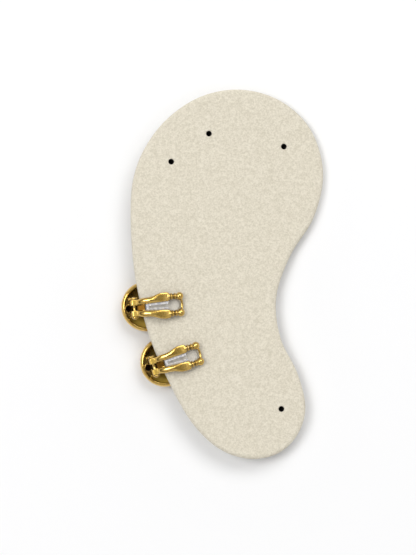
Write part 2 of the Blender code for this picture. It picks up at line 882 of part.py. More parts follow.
def rest_pose(pad, buttons, everything):
    """The turn and shift that lay the object on its two domes and the pad's far edge."""
    centres = [Vector((b.matrix_world @ Vector((BUTTON_FROM_HINGE, 0, 0)))[:2]) for b in buttons]
    line = (centres[1] - centres[0]).normalized()
    axis = Vector((line.x, line.y, 0))
    pad_points = world_points([pad])
    dome_points = world_points(buttons)
    low, high = -TILT_LIMIT, TILT_LIMIT
    for _ in range(TILT_HALVINGS):
        angle = (low + high) / 2
        up = np.array(Matrix.Rotation(angle, 3, axis))[2]
        if (pad_points @ up).min() > (dome_points @ up).min():
            low = angle
        else:
            high = angle
    turn = Matrix.Rotation(angle, 4, axis)
    points = world_points(everything) @ np.array(turn)[:3, :3].T
    middle = (points.min(axis=0) + points.max(axis=0)) / 2
    shift = Matrix.Translation((-middle[0], -middle[1], -points[:, 2].min()))
    return shift @ turn


def main():
    """Build every piece, place the two clips and lay the object down."""
    clear_scene()
    model = new_collection("clip_on_earrings_on_pad")
    cutters = new_collection("cutters")
    rest = add_empty("resting_object", Matrix(), cutters, None)

    pad = display_pad(cutters)
    bpy.context.scene.collection.objects.unlink(pad)
    model.objects.link(pad)
    pad.data.materials.append(finish_material("suede", pad.name))
    pad.parent = rest
    for modifier in pad.modifiers:
        modifier.object.parent = rest

    pieces = (
        ("button", button(), "gold"),
        ("hinge_pin", hinge_pin(), "gold"),
        ("spring_leaf", spring_leaf(), "gold"),
        ("lever", lever(), "gold"),
        ("comfort_pad", comfort_pad(), "clear"),
    )

    nodes = [pad]
    buttons = []
    for label, place in CLIP_PLACES.items():
        clip = add_empty(f"clip_{label}", clip_frame(place), cutters, rest)
        for piece, mesh, finish in pieces:
            node = add_node(f"{piece}_{label}", mesh, finish, model, clip)
            nodes.append(node)
            if piece == "button":
                buttons.append(node)
    bpy.context.view_layer.update()
    rest.matrix_world = rest_pose(pad, buttons, nodes)
    bpy.context.view_layer.update()


main()
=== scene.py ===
# %% [markdown]
# # A pair of clip-on earrings on an ear-shaped display pad
# A flat board is wrapped in beige microsuede and cut like the outline of an ear. Two round gold earrings are
# clipped over its left edge: the hollow, domed button hangs below the board, and the forked lever lies on its
# face with a clear comfort pad between its arms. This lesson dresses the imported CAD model, piece by piece.

# %% Load the frame
import json
import math

import bmesh
import bpy
import numpy as np
from mathutils import Matrix, Vector, geometry, noise


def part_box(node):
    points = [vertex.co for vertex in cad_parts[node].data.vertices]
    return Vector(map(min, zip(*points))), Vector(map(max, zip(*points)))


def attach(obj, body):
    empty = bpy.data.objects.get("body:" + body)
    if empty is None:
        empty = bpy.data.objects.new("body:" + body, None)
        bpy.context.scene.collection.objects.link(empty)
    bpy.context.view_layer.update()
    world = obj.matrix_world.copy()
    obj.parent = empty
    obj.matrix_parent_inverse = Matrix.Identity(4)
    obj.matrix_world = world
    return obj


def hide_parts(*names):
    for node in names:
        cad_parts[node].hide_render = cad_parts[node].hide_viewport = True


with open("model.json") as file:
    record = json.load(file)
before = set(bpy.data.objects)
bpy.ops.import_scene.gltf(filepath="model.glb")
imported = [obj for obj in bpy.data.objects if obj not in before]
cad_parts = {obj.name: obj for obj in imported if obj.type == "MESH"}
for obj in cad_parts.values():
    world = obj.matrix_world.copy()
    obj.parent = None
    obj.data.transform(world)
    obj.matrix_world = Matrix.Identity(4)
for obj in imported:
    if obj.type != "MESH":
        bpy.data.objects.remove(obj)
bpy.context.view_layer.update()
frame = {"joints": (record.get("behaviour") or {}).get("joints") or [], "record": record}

# %% [markdown]
# ## The two frames that everything is built in
# The board lies tilted by a few degrees, because the buttons lift its left edge. It is easier to model flat,
# so the board is built in its own frame and turned at the end. The CAD record holds the board's normal.
# Each earring is built once in its clip's frame: zero in the middle of the hinge, X towards the balls, Y
# along the hinge pin, Z up from the board. The record's hinges say where that frame is for each of the two.

# %% Frames from the record
board_normal = next(
    Vector(mount["axis"]) for mount in frame["record"]["mounts"] if mount["name"] == "pad_front"
)
board_turn = Vector((0, 0, 1)).rotation_difference(board_normal).to_matrix().to_4x4()


def clip_frame(hinge):
    """The matrix that takes a shape from the clip's own frame to its place on the board."""
    pin = -Vector(hinge["axis"])
    reach = pin.cross(board_normal).normalized()
    up = reach.cross(pin)
    turn = Matrix((reach, pin, up)).transposed().to_4x4()
    return Matrix.Translation(hinge["pos_m"]) @ turn


clips = {
    hinge["child"].split("_")[-1]: (clip_frame(hinge), hinge["child"]) for hinge in frame["joints"]
}
for side, (place, body) in clips.items():
    print(side, "clip rides on", body, "hinge at", [round(c * 1000, 2) for c in place.translation])

# %% [markdown]
# ## Meshes and objects in few words
# Shapes are modelled as bmeshes, and modifiers need an object. So three helpers put data into the scene, turn
# a bmesh into a mesh, and read back the mesh that an object's modifiers make.

# %% Add an object


def add_object(name, data):
    """A new object with its data, in the scene."""
    obj = bpy.data.objects.new(name, data)
    bpy.context.scene.collection.objects.link(obj)
    return obj


def as_mesh(shape, name):
    """A mesh from a bmesh, which is freed."""
    mesh = bpy.data.meshes.new(name)
    shape.to_mesh(mesh)
    shape.free()
    return mesh


def applied(obj, *tools):
    """The mesh that an object's modifiers make. The object and its tools are removed."""
    bpy.context.view_layer.update()
    result = bpy.data.meshes.new_from_object(obj.evaluated_get(bpy.context.evaluated_depsgraph_get()))
    for used in (obj, *tools):
        bpy.data.objects.remove(used)
    return result


print("mesh helpers ready")

# %% [markdown]
# ## Camera
# The photograph looks straight down with hardly any perspective, so the camera is high and its lens is long.
# One pixel of the photograph is 0.3 mm on the board, which gives the camera's height.

# %% Camera
MM = 0.001
PHOTO_PIXEL = 0.3 * MM
PHOTO_ROWS = 555
VIEW_CENTRE = (-4.3 * MM, -1.05 * MM)
BOARD_FACE = 6 * MM
LENS = 150
SENSOR = 36

lens = bpy.data.cameras.new("camera")
lens.lens = LENS
lens.sensor_width = SENSOR
lens.clip_start = 10 * MM
camera = add_object("camera", lens)
camera.location = (*VIEW_CENTRE, BOARD_FACE + PHOTO_ROWS * PHOTO_PIXEL * LENS / SENSOR)
bpy.context.scene.camera = camera
bpy.context.scene.view_settings.view_transform = "Standard"
print("camera height in mm:", round(camera.location.z * 1000, 1))

# %% [markdown]
# ## Nodes in few words
# Materials and Geometry Nodes are both made of nodes. One helper adds a node to either kind of tree: each
# input is a number, a colour, or an output of another node to link. The others name what materials need
# often: an attribute, a mix, a noise, a range and a bump.

# %% Add a node


def add_node(tree, kind, values=None, **settings):
    """Add a node. Values are numbers or sockets to link, by the input's name or number."""
    made = tree.nodes.new(kind)
    for name, value in settings.items():
        setattr(made, name, value)
    for key, value in (values or {}).items():
        if isinstance(value, bpy.types.NodeSocket):
            tree.links.new(value, made.inputs[key])
        else:
            made.inputs[key].default_value = value
    return made


def new_material(name, **values):
    """A Principled material. Values are set on the shader's own sockets."""
    material = bpy.data.materials.new(name)
    material.use_nodes = True
    shader = material.node_tree.nodes["Principled BSDF"]
    for key, value in values.items():
        shader.inputs[key.replace("_", " ")].default_value = value
    return material, material.node_tree, shader


def feed(shader, **outputs):
    """Link outputs to the shader's own inputs."""
    for key, output in outputs.items():
        shader.id_data.links.new(output, shader.inputs[key.replace("_", " ")])


print("one helper adds a node, and two set up a shader")

# %% Nodes that the materials share


def attribute(tree, name):
    """The value of an attribute of the mesh."""
    return add_node(tree, "ShaderNodeAttribute", attribute_name=name).outputs["Fac"]


def calculated(tree, operation, *values):
    """One operation on numbers."""
    return add_node(tree, "ShaderNodeMath", dict(enumerate(values)), operation=operation).outputs[0]


def mixed(tree, share, first, second):
    """A mix of two numbers: the first where the share is 0."""
    return add_node(tree, "ShaderNodeMix", {0: share, 2: first, 3: second}).outputs[0]


def mixed_colours(tree, share, first, second):
    """A mix of two colours: the first where the share is 0."""
    values = {0: share, 6: first, 7: second}
    return add_node(tree, "ShaderNodeMix", values, data_type="RGBA").outputs[2]


def grain(tree, size, detail=3.0, roughness=0.55):
    """Noise with features of a given size in metres, on the piece's own coordinates."""
    place = add_node(tree, "ShaderNodeTexCoord").outputs["Object"]
    values = {"Vector": place, "Scale": 1 / size, "Detail": detail, "Roughness": roughness}
    return add_node(tree, "ShaderNodeTexNoise", values).outputs["Fac"]


def spread(tree, value, low, high, from_low=0.3, from_high=0.7):
    """Map a value to a range. A noise stays between 0.3 and 0.7 for the most part."""
    values = {0: value, 1: from_low, 2: from_high, 3: low, 4: high}
    return add_node(tree, "ShaderNodeMapRange", values).outputs[0]


def bump(tree, shader, height, distance, strength=1.0):
    """Raise the surface by a height from 0 to 1, times a distance in metres."""
    values = {"Height": height, "Distance": distance, "Strength": strength}
    feed(shader, Normal=add_node(tree, "ShaderNodeBump", values).outputs[0])


print("node helpers ready")

# %% [markdown]
# ## Microsuede
# Microsuede is a fine, short nap. It has no gloss, only a soft sheen at grazing angles. Seen from above it is
# a warm beige that is mottled, because the nap lies in patches of about a millimetre, with grains of about
# half a millimetre in them. Two noises of those sizes tint the colour, and grains about as fine raise the
# surface a little. The stud holes get painted shade: an attribute marks their lower walls and floors, drawn
# nearly black.

# %% Microsuede
SUEDE_DARK = (0.595, 0.550, 0.442, 1)
SUEDE_LIGHT = (0.750, 0.702, 0.588, 1)
# Painted shade: nearly black, for the shaded stud holes.
HOLE_SHADE_COLOUR = (0.010, 0.009, 0.008, 1)


def microsuede():
    """Beige microsuede with a mottled nap."""
    material, tree, shader = new_material(
        "microsuede", Roughness=0.92, Sheen_Weight=0.25, Sheen_Roughness=0.5, Specular_IOR_Level=0.2
    )
    patches = grain(tree, 1.1 * MM, 3)
    nap = grain(tree, 0.5 * MM, 3, 0.7)
    mottle = calculated(tree, "MULTIPLY_ADD", patches, 0.5, nap)
    beige = mixed_colours(tree, spread(tree, mottle, 0, 1, 0.60, 0.90), SUEDE_DARK, SUEDE_LIGHT)
    # Painted shade: where the hole mark is 1, the suede turns nearly black.
    feed(shader, Base_Color=mixed_colours(tree, attribute(tree, "painted_hole_shade"), beige, HOLE_SHADE_COLOUR))
    bump(tree, shader, grain(tree, 0.45 * MM, 4, 0.7), 0.16 * MM, 0.8)
    return material


suede = microsuede()
print("made", suede.name)

# %% [markdown]
# ## Gold plate
# The earrings are cast brass, gold plated, under a thin clear lacquer that adds a sharp highlight. Polished
# gold is a mirror with a yellow tint, so its look comes from what it reflects. Three attributes on the mesh
# say where it differs. Where satin is 1 the gold is brushed. Where the shade mark is 1, in grooves and
# undersides, painted shade turns it dark brown, with no lacquer. Where the matt mark is 1 it is rough as
# cast and scatters light like paint: inside the buttons, more on one side, which paints that side lighter,
# and a little on the knuckles.

# %% Gold plate
GOLD_DEEP = (0.59, 0.365, 0.058, 1)
GOLD_BRIGHT = (0.76, 0.505, 0.125, 1)
# Rough cast gold. Mixed in more on one side of the buttons' hollows, it paints that side lighter.
ROUGH_CAST_AND_PAINTED_LIGHT = (1.0, 0.70, 0.13, 1)
# Painted shade: the dark brown of grooves, recesses and undersides.
PAINTED_SHADE_BROWN = (0.070, 0.032, 0.004, 1)
POLISHED_ROUGHNESS = (0.07, 0.17)
BRUSHED_ROUGHNESS = (0.2, 0.32)
CAST_ROUGHNESS = 0.5
CAST_METALLIC = 0.2


def gold_plate():
    """Gold plate: brushed, darkened by painted shade, and matt with painted light in the hollows, as its
    three attributes say.
    """
    material, tree, shader = new_material("polished_gold", Specular_IOR_Level=0.1, Coat_Roughness=0.05)
    satin, painted_shade, matt_and_painted_light = (attribute(tree, name) for name in ("satin", "painted_shade", "matt_and_painted_light"))
    tone = spread(tree, grain(tree, 1.1 * MM, 4), 0, 1)
    plate = mixed_colours(tree, tone, GOLD_DEEP, GOLD_BRIGHT)
    # Matt gold. Inside the buttons it is stronger on one side, as painted light.
    cast_and_painted_light = mixed_colours(tree, matt_and_painted_light, plate, ROUGH_CAST_AND_PAINTED_LIGHT)
    smudges = spread(tree, grain(tree, 0.6 * MM, 4), *POLISHED_ROUGHNESS)
    brushed = spread(tree, grain(tree, 0.15 * MM, 3), *BRUSHED_ROUGHNESS)
    worn = mixed(tree, satin, smudges, brushed)
    feed(
        shader,
        # Painted shade turns the colour dark brown where the shade mark is 1.
        Base_Color=mixed_colours(tree, painted_shade, cast_and_painted_light, PAINTED_SHADE_BROWN),
        Roughness=mixed(tree, matt_and_painted_light, worn, CAST_ROUGHNESS),
        Metallic=mixed(tree, matt_and_painted_light, 1.0, CAST_METALLIC),
        Coat_Weight=spread(tree, painted_shade, 1.0, 0.0, 0.0, 1.0),
    )
    bump(tree, shader, grain(tree, 0.7 * MM, 3), 0.012 * MM, 0.6)
    return material


gold = gold_plate()
print("made", gold.name)

# %% [markdown]
# ## Clear plastic
# The comfort pad is moulded in clear plastic. The suede shows through its flat faces, while its bevels and
# edges get a painted highlight: an attribute on its faces, named glint, says how much, and raises the
# opacity of a white colour there. A noise breaks the painted highlight into white and grey streaks.

# %% Clear plastic
# Painted highlight: the colours of the flash on the bevels.
PAINTED_FLASH_GREY = (0.55, 0.57, 0.66, 1)
PAINTED_FLASH_WHITE = (1.0, 1.0, 1.0, 1)


def clear_plastic():
    """Clear moulded plastic."""
    material, tree, shader = new_material("moulded_clear", IOR=1.49)
    painted_streaks = spread(tree, grain(tree, 0.7 * MM, 3), 0, 1, 0.4, 0.6)
    feed(
        shader,
        Base_Color=mixed_colours(tree, painted_streaks, PAINTED_FLASH_GREY, PAINTED_FLASH_WHITE),
        # Painted highlight: the glint mark makes the bevels nearly opaque, so their white shows.
        Alpha=spread(tree, attribute(tree, "glint"), 0.10, 0.95, 0.0, 1.0),
        Roughness=spread(tree, grain(tree, 0.8 * MM, 3), 0.02, 0.07),
    )
    bump(tree, shader, grain(tree, 1.2 * MM, 2), 0.01 * MM, 0.5)
    return material


clear = clear_plastic()
print("made", clear.name)

# %% [markdown]
# ## The board
# The real pad is a stiff board with microsuede drawn round its edge. Its outline is a freehand curve, like an
# ear, so it is drawn through a few points with a smooth spline. The edge is rounded, and the top has four
# stud holes. The faces are filled with evenly spread triangles, so that the nap can raise them.

# %% The board's outline
PAD_WIDTH = 57.9 * MM
PAD_LENGTH = 110.9 * MM
PAD_THICKNESS = 3.6 * MM

# Columns: across, along. Shares of half the pad's width and of half its length, clockwise from the top.
PAD_OUTLINE = (
    (0.130, 1.001),
    (0.546, 0.943),
    (0.865, 0.790),
    (1.001, 0.552),
    (0.902, 0.308),
    (0.656, 0.099),
    (0.508, -0.130),
    (0.552, -0.346),
    (0.734, -0.546),
    (0.810, -0.736),
    (0.718, -0.879),
    (0.523, -0.972),
    (0.238, -1.001),
    (-0.073, -0.950),
    (-0.358, -0.811),
    (-0.611, -0.579),
    (-0.813, -0.330),
    (-0.953, -0.022),
    (-1.001, 0.270),
    (-0.978, 0.508),
    (-0.865, 0.673),
    (-0.632, 0.836),
    (-0.280, 0.960),
)
# Columns: across, along. The same shares, for the four stud holes.
STUD_HOLES = (
    (-0.585, 0.606),
    (-0.193, 0.759),
    (0.588, 0.691),
    (0.557, -0.731),
)


print("outline table:", len(PAD_OUTLINE), "points and", len(STUD_HOLES), "holes")

# %% Draw the outline


def between(start, end, start_time, end_time, time):
    """The point on the line through two timed points at a given time."""
    return start.lerp(end, (time - start_time) / (end_time - start_time))


def smooth_curve(knots, steps):
    """Points on a smooth closed curve through the knots. Square roots of lengths time them, against loops."""
    knots = [Vector(knot) for knot in knots]
    points = []
    for i in range(len(knots)):
        a, b, c, d = (knots[(i + k) % len(knots)] for k in (-1, 0, 1, 2))
        ta = 0.0
        tb = ta + math.sqrt((b - a).length)
        tc = tb + math.sqrt((c - b).length)
        td = tc + math.sqrt((d - c).length)
        for step in range(steps):
            t = tb + (tc - tb) * step / steps
            ab = between(a, b, ta, tb, t)
            bc = between(b, c, tb, tc, t)
            cd = between(c, d, tc, td, t)
            points.append(between(between(ab, bc, ta, tc, t), between(bc, cd, tb, td, t), tb, tc, t))
    return points


def inset(outline, distance):
    """A clockwise outline moved inwards by a distance."""
    moved = []
    for i, point in enumerate(outline):
        along = (outline[(i + 1) % len(outline)] - outline[i - 1]).normalized()
        moved.append(point + Vector((along.y, -along.x)) * distance)
    return moved


outline = smooth_curve([(x * PAD_WIDTH / 2, y * PAD_LENGTH / 2) for x, y in PAD_OUTLINE], 10)
print("outline:", len(outline), "points")

# %% [markdown]
# A face with holes is a job for a constrained triangulation: it joins given points into even triangles and
# keeps given lines as edges. The lines are the outline and the hole rims, and the free points are a
# honeycomb. Rings of quads follow the rounded edge from face to face, and go down into the holes.

# %% Fill a face round its holes
# Shares of the spacing: from row to row, and from a line to the nearest point.
ROW_SHARE = 0.87
CLEAR_SHARE = 0.6


def circle(centre, radius, count):
    """Points round a circle, clockwise."""
    angles = [-2 * math.pi * i / count for i in range(count)]
    return [Vector((centre[0] + radius * math.cos(a), centre[1] + radius * math.sin(a))) for a in angles]


def honeycomb(rim, holes, spacing):
    """Evenly spread points inside a rim and outside the holes, clear of both."""
    rim = np.array(rim)
    low, high = rim.min(axis=0), rim.max(axis=0)
    rows = enumerate(np.arange(low[1], high[1], spacing * ROW_SHARE))
    starts = [(low[0] + (number % 2) * spacing / 2, y) for number, y in rows]
    points = np.array([(x, y) for start, y in starts for x in np.arange(start, high[0], spacing)])
    ends = np.roll(rim, -1, axis=0)
    crossings = (rim[:, 1] > points[:, 1:2]) != (ends[:, 1] > points[:, 1:2])
    rise = np.where(ends[:, 1] == rim[:, 1], 1, ends[:, 1] - rim[:, 1])
    where = rim[:, 0] + (points[:, 1:2] - rim[:, 1]) / rise * (ends[:, 0] - rim[:, 0])
    inside = (crossings & (points[:, 0:1] < where)).sum(axis=1) % 2 == 1
    points = points[inside]
    lines = np.vstack([rim] + [np.array(hole) for hole in holes])
    far = np.linalg.norm(points[:, None] - lines[None], axis=2).min(axis=1) > spacing * CLEAR_SHARE
    points = points[far]
    for hole in holes:
        ring = np.array(hole)
        middle = ring.mean(axis=0)
        radius = np.linalg.norm(ring - middle, axis=1).mean()
        points = points[np.linalg.norm(points - middle, axis=1) > radius]
    return [Vector(point) for point in points]


def filled(rim, holes, spacing):
    """Points and triangles that fill a rim round its holes. The rim's points come first, then the holes'."""
    loops = [rim] + holes
    points = [point for loop in loops for point in loop]
    edges = []
    first = 0
    for loop in loops:
        count = len(loop)
        edges += [(first + i, first + (i + 1) % count) for i in range(count)]
        first += count
    points += honeycomb(rim, holes, spacing)
    verts, _, faces, *_ = geometry.delaunay_2d_cdt(points, edges, [], 1, 1e-9)
    middles = [sum(hole, Vector((0, 0))) / len(hole) for hole in holes]
    radii = [(hole[0] - middle).length for hole, middle in zip(holes, middles)]
    kept = []
    for face in faces:
        centre = sum((verts[i] for i in face), Vector((0, 0))) / len(face)
        if all((centre - middle).length > radius for middle, radius in zip(middles, radii)):
            kept.append(face)
    return verts, kept


print("face helpers ready")

# %% Rings of quads


def raised(shape, points, height):
    """New vertices at a height, over flat points."""
    return [shape.verts.new((p.x, p.y, height)) for p in points]


def bridge(shape, rings):
    """Quads between each ring and the next, which has as many points."""
    for upper, lower in zip(rings, rings[1:]):
        for i in range(len(upper)):
            j = (i + 1) % len(upper)
            shape.faces.new((upper[i], upper[j], lower[j], lower[i]))


def round_rows(radius, steps):
    """Inset and drop of the rows round a quarter circle, after the first."""
    angles = [math.pi / 2 * i / steps for i in range(1, steps + 1)]
    return [(radius * (1 - math.sin(a)), radius * (1 - math.cos(a))) for a in angles]


print("ring helpers ready")

# %% Build the board
FACE_SPACING = 0.9 * MM
EDGE_ROUND = 1.1 * MM
EDGE_STEPS = 7
HOLE_RADIUS = 0.85 * MM
HOLE_DEPTH = 2.8 * MM
HOLE_ROUND = 0.3 * MM
HOLE_POINTS = 24


def board_shape():
    """The board in its own frame: zero on its flat underside. The holes' walls and floors are marked for
    painted shade.
    """
    shape = bmesh.new()
    painted_hole_shade = shape.verts.layers.float.new("painted_hole_shade")
    rim = inset(outline, EDGE_ROUND)
    centres = [(x * PAD_WIDTH / 2, y * PAD_LENGTH / 2) for x, y in STUD_HOLES]
    mouths = [circle(centre, HOLE_RADIUS + HOLE_ROUND, HOLE_POINTS) for centre in centres]

    points, faces = filled(rim, mouths, FACE_SPACING)
    top = raised(shape, points, PAD_THICKNESS)
    for face in faces:
        shape.faces.new([top[i] for i in face])
    points, faces = filled(rim, [], FACE_SPACING)
    foot = raised(shape, points, 0)
    for face in faces:
        shape.faces.new([foot[i] for i in reversed(face)])

    rows = round_rows(EDGE_ROUND, EDGE_STEPS)
    levels = [(inward, PAD_THICKNESS - drop) for inward, drop in rows]
    levels += [(inward, drop) for inward, drop in reversed(rows)]
    rings = [top[: len(rim)]]
    rings += [raised(shape, inset(outline, inward), height) for inward, height in levels]
    bridge(shape, rings + [foot[: len(rim)]])

    for number, centre in enumerate(centres):
        first = len(rim) + number * HOLE_POINTS
        rings = [top[first : first + HOLE_POINTS]]
        for inward, drop in round_rows(HOLE_ROUND, EDGE_STEPS) + [(0, 1.5 * HOLE_ROUND), (0, HOLE_DEPTH)]:
            ring = circle(centre, HOLE_RADIUS + inward, HOLE_POINTS)
            rings.append(raised(shape, ring, PAD_THICKNESS - drop))
        bridge(shape, rings)
        shape.faces.new(rings[-1])
        # Painted shade: the lower walls and floor of each hole are marked to be drawn nearly black.
        for vert in rings[-1] + rings[-2]:
            vert[painted_hole_shade] = 1.0
    bmesh.ops.recalc_face_normals(shape, faces=shape.faces)
    return shape


board = board_shape()
print("board:", len(board.verts), "points")

# %% [markdown]
# Every finished piece rides on a body of the CAD model, names its material's slot, and says which CAD node it
# replaces. The board is the first. Slow waves of noise raise its nap, and it is turned into its tilted place.

# %% Place the board
NAP_WAVES = 0.03 * MM
NAP_WAVE_LENGTH = 2.5 * MM


def piece(name, shape, material, body, replaces):
    """A finished piece of the object, riding on its body."""
    mesh = as_mesh(shape, name)
    mesh.materials.append(material)
    mesh.shade_smooth()
    obj = add_object(name, mesh)
    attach(obj, body)
    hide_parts(*replaces)
    mesh.calc_loop_triangles()
    print(f"{name}: {len(mesh.loop_triangles)} triangles, rides on {body}")
    return obj


for vert in board.verts:
    if vert.co.z > PAD_THICKNESS - EDGE_ROUND / 4:
        vert.co.z += (noise.fractal(vert.co / NAP_WAVE_LENGTH, 1.0, 2.0, 3) - 1) * NAP_WAVES
bmesh.ops.transform(board, matrix=board_turn, verts=board.verts)
low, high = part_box("display_pad")
corners = np.array([vert.co for vert in board.verts])
shift = np.array((low + high) / 2) - (corners.min(axis=0) + corners.max(axis=0)) / 2
bmesh.ops.translate(board, vec=shift, verts=board.verts)
piece("suede_pad", board, suede, "root", ["display_pad"])

# %% [markdown]
# ## Shapes made by Geometry Nodes
# Much of an earring follows a rule: the button and the pins are turned, the leaf is a strip along a path, the
# necks carry evenly spaced ribs. Geometry Nodes suit such shapes, because the tree holds the rule and a few
# named inputs hold the sizes. The result is turned to a plain mesh, so that it can be placed and exported.

# %% Helpers for node trees


def tree_node(tree, kind, **values):
    """A new node's first output. In the names of its inputs, _ stands for a space."""
    values = {key.replace("_", " "): value for key, value in values.items()}
    return add_node(tree, "GeometryNode" + kind, values).outputs[0]


def swept(tree, path, section):
    """A section carried along a path, with its ends closed."""
    return tree_node(tree, "CurveToMesh", Curve=path, Profile_Curve=section, Fill_Caps=True)


def start_tree(name, inputs):
    """A Geometry Nodes tree with named inputs. Returns the tree and the outputs of its input node."""
    tree = bpy.data.node_groups.new(name, "GeometryNodeTree")
    tree.is_modifier = True
    for label, kind in {**inputs, "Material": "Material"}.items():
        tree.interface.new_socket(label, in_out="INPUT", socket_type="NodeSocket" + kind)
    tree.interface.new_socket("Geometry", in_out="OUTPUT", socket_type="NodeSocketGeometry")
    return tree, tree.nodes.new("NodeGroupInput").outputs


def end_tree(tree, given, result):
    """Make the result real and give it its material."""
    real = tree_node(tree, "RealizeInstances", Geometry=result)
    dressed = tree_node(tree, "SetMaterial", Geometry=real, Material=given["Material"])
    add_node(tree, "NodeGroupOutput", {0: dressed})
    return tree


def grown(tree, values, points=(), edges=()):
    """The plain mesh that a tree makes from its inputs, and from a line of points where it needs one."""
    mesh = bpy.data.meshes.new(tree.name)
    mesh.from_pydata(points, edges, [])
    obj = add_object(tree.name, mesh)
    modifier = obj.modifiers.new(tree.name, "NODES")
    modifier.node_group = tree
    for item in tree.interface.items_tree:
        if item.in_out == "INPUT" and item.name in values:
            modifier[item.identifier] = values[item.name]
    return applied(obj)


print("tree helpers ready")

# %% Helpers for meshes
WELD = 0.001 * MM


def mesh_shape(mesh, matrix=Matrix()):
    """A mesh as a bmesh, moved by a matrix, with its seams closed and its faces turned outwards."""
    shape = bmesh.new()
    shape.from_mesh(mesh)
    bmesh.ops.transform(shape, matrix=matrix, verts=shape.verts)
    bmesh.ops.remove_doubles(shape, verts=shape.verts, dist=WELD)
    bmesh.ops.recalc_face_normals(shape, faces=shape.faces)
    return shape


def chain(points):
    """Edges that join points in a row."""
    return [(i, i + 1) for i in range(len(points) - 1)]


def positions(mesh):
    """The mesh's points as rows of x, y, z."""
    return np.array([vert.co for vert in mesh.vertices])


def upright(mesh):
    """How far each point's normal looks up: 1 is up, 0 is sideways."""
    return np.array([vert.normal.z for vert in mesh.vertices])


def mark(mesh, name, values, domain="POINT"):
    """Write an attribute, with values held between 0 and 1."""
    layer = mesh.attributes.new(name, "FLOAT", domain)
    layer.data.foreach_set("value", np.clip(values, 0, 1).astype(float))


def fade(values, zero, one):
    """0 at one value, 1 at the other, and a straight line between."""
    return np.clip((values - zero) / (one - zero), 0, 1)


print("mark helpers ready")

# %% [markdown]
# ## The button
# The button is a thin shell that was pressed from sheet and turned round its middle: a shallow dome that
# faces down, an edge that rolls in, and a lip. A turned shape is one profile carried round a circle. The tree
# sweeps the profile along a circle, which leaves only the profile to draw.

# %% The turning tree
TURNING_RADIUS = 1 * MM


def turning_tree():
    """A profile carried round a circle. The profile is drawn from the circle outwards, with its Y down."""
    inputs = {"Profile": "Geometry", "Sides": "Int", "Turning Radius": "Float"}
    tree, given = start_tree("turned_round", inputs)
    profile = tree_node(tree, "MeshToCurve", Mesh=given["Profile"])
    path = tree_node(tree, "CurvePrimitiveCircle", Resolution=given["Sides"], Radius=given["Turning Radius"])
    return end_tree(tree, given, tree_node(tree, "CurveToMesh", Curve=path, Profile_Curve=profile))


turned_round = turning_tree()


def turned(profile, sides, material):
    """A closed shape turned round Z from a profile of (radius, height)."""
    points = [(radius - TURNING_RADIUS, -height, 0) for radius, height in profile]
    values = {"Sides": sides, "Turning Radius": TURNING_RADIUS, "Material": material}
    return grown(turned_round, values, points, chain(points))


print("turning tree:", len(turned_round.nodes), "nodes")

# %% The button's shell
BUTTON_RADIUS = 7.56 * MM
BUTTON_LIP_RADIUS = 6.70 * MM
BUTTON_DEPTH = 4.7 * MM
BUTTON_EDGE_DROP = 1.4 * MM
BUTTON_WALL = 0.65 * MM
BUTTON_FROM_HINGE = 3.8 * MM
BUTTON_SIDE_SHIFT = 0.3 * MM
BUTTON_SIDES = 144
RIM_HEIGHT = -3.7 * MM
DOME_POINTS = 33
# Columns: share of the wall, share of the edge's drop. The inside of the lip, from its crest down.
LIP_INSIDE = (
    (0.16, 0.985),
    (0.40, 0.94),
    (0.55, 0.86),
    (0.58, 0.74),
    (0.50, 0.62),
    (0.27, 0.45),
    (-0.02, 0.22),
)


def button_profile():
    """The shell's profile: up the hollow, over the lip, and down the puffed edge and the dome."""
    edge_height = RIM_HEIGHT - BUTTON_EDGE_DROP
    dome_drop = BUTTON_DEPTH - BUTTON_EDGE_DROP
    puff = BUTTON_RADIUS - BUTTON_LIP_RADIUS
    dome = [(math.sin(a), math.cos(a)) for a in np.linspace(0, math.pi / 2, DOME_POINTS)]
    inner_radius = BUTTON_RADIUS - BUTTON_WALL
    inner_drop = dome_drop - BUTTON_WALL
    inner = [(inner_radius * s, edge_height - inner_drop * c) for s, c in dome]
    outer = [(BUTTON_RADIUS * s, edge_height - dome_drop * c) for s, c in dome]
    over = [
        (BUTTON_RADIUS - puff * (1 - math.cos(a)), edge_height + BUTTON_EDGE_DROP * math.sin(a))
        for a in np.linspace(0, math.pi / 2, 15)[1:]
    ]
    lip = [
        (BUTTON_LIP_RADIUS - BUTTON_WALL * wall, edge_height + BUTTON_EDGE_DROP * height)
        for wall, height in LIP_INSIDE
    ]
    return inner + lip[::-1] + over[::-1] + outer[::-1]


button_middle = Matrix.Translation((BUTTON_FROM_HINGE, BUTTON_SIDE_SHIFT, 0))
profile = button_profile()
shell = turned(profile, BUTTON_SIDES, gold)
print("shell:", len(shell.vertices), "points")

# %% [markdown]
# The hollow is matt, and more so on one side, which paints that side lighter. Painted shade darkens it in a
# ring under the lip and in a spot under the bracket's collar. Each mark fades in between two places: the
# first is where it starts, and the second is where it is full.

# %% Mark the hollow
LIP_POINTS_IN_HOLLOW = 3
# Painted light: the hollow is more matt, and so lighter, towards one side. The matt share grows from its
# least to full across it.
MATT_ON_PAINTED_DARK_SIDE = 0.3
PAINTED_LIGHT_ACROSS = (3.0 * MM, -1.5 * MM)
# Heights over the rim, as shares of the edge's drop.
MATT_HEIGHTS = (-0.4, -1.0)
RING_HEIGHTS = (-1.2, -0.9)
# Painted shade: a dark ring under the lip, and a dark spot under the collar.
RING_PAINTED_SHADE = 0.9
PAINTED_SHADOW_CENTRE = (-5.3 * MM, -BUTTON_SIDE_SHIFT)
PAINTED_SHADOW_RADII = (2.0 * MM, 1.2 * MM)

inside = np.arange(len(shell.vertices)) % len(profile) < DOME_POINTS + LIP_POINTS_IN_HOLLOW
across = positions(shell)[:, 1]
level = (positions(shell)[:, 2] - RIM_HEIGHT) / BUTTON_EDGE_DROP
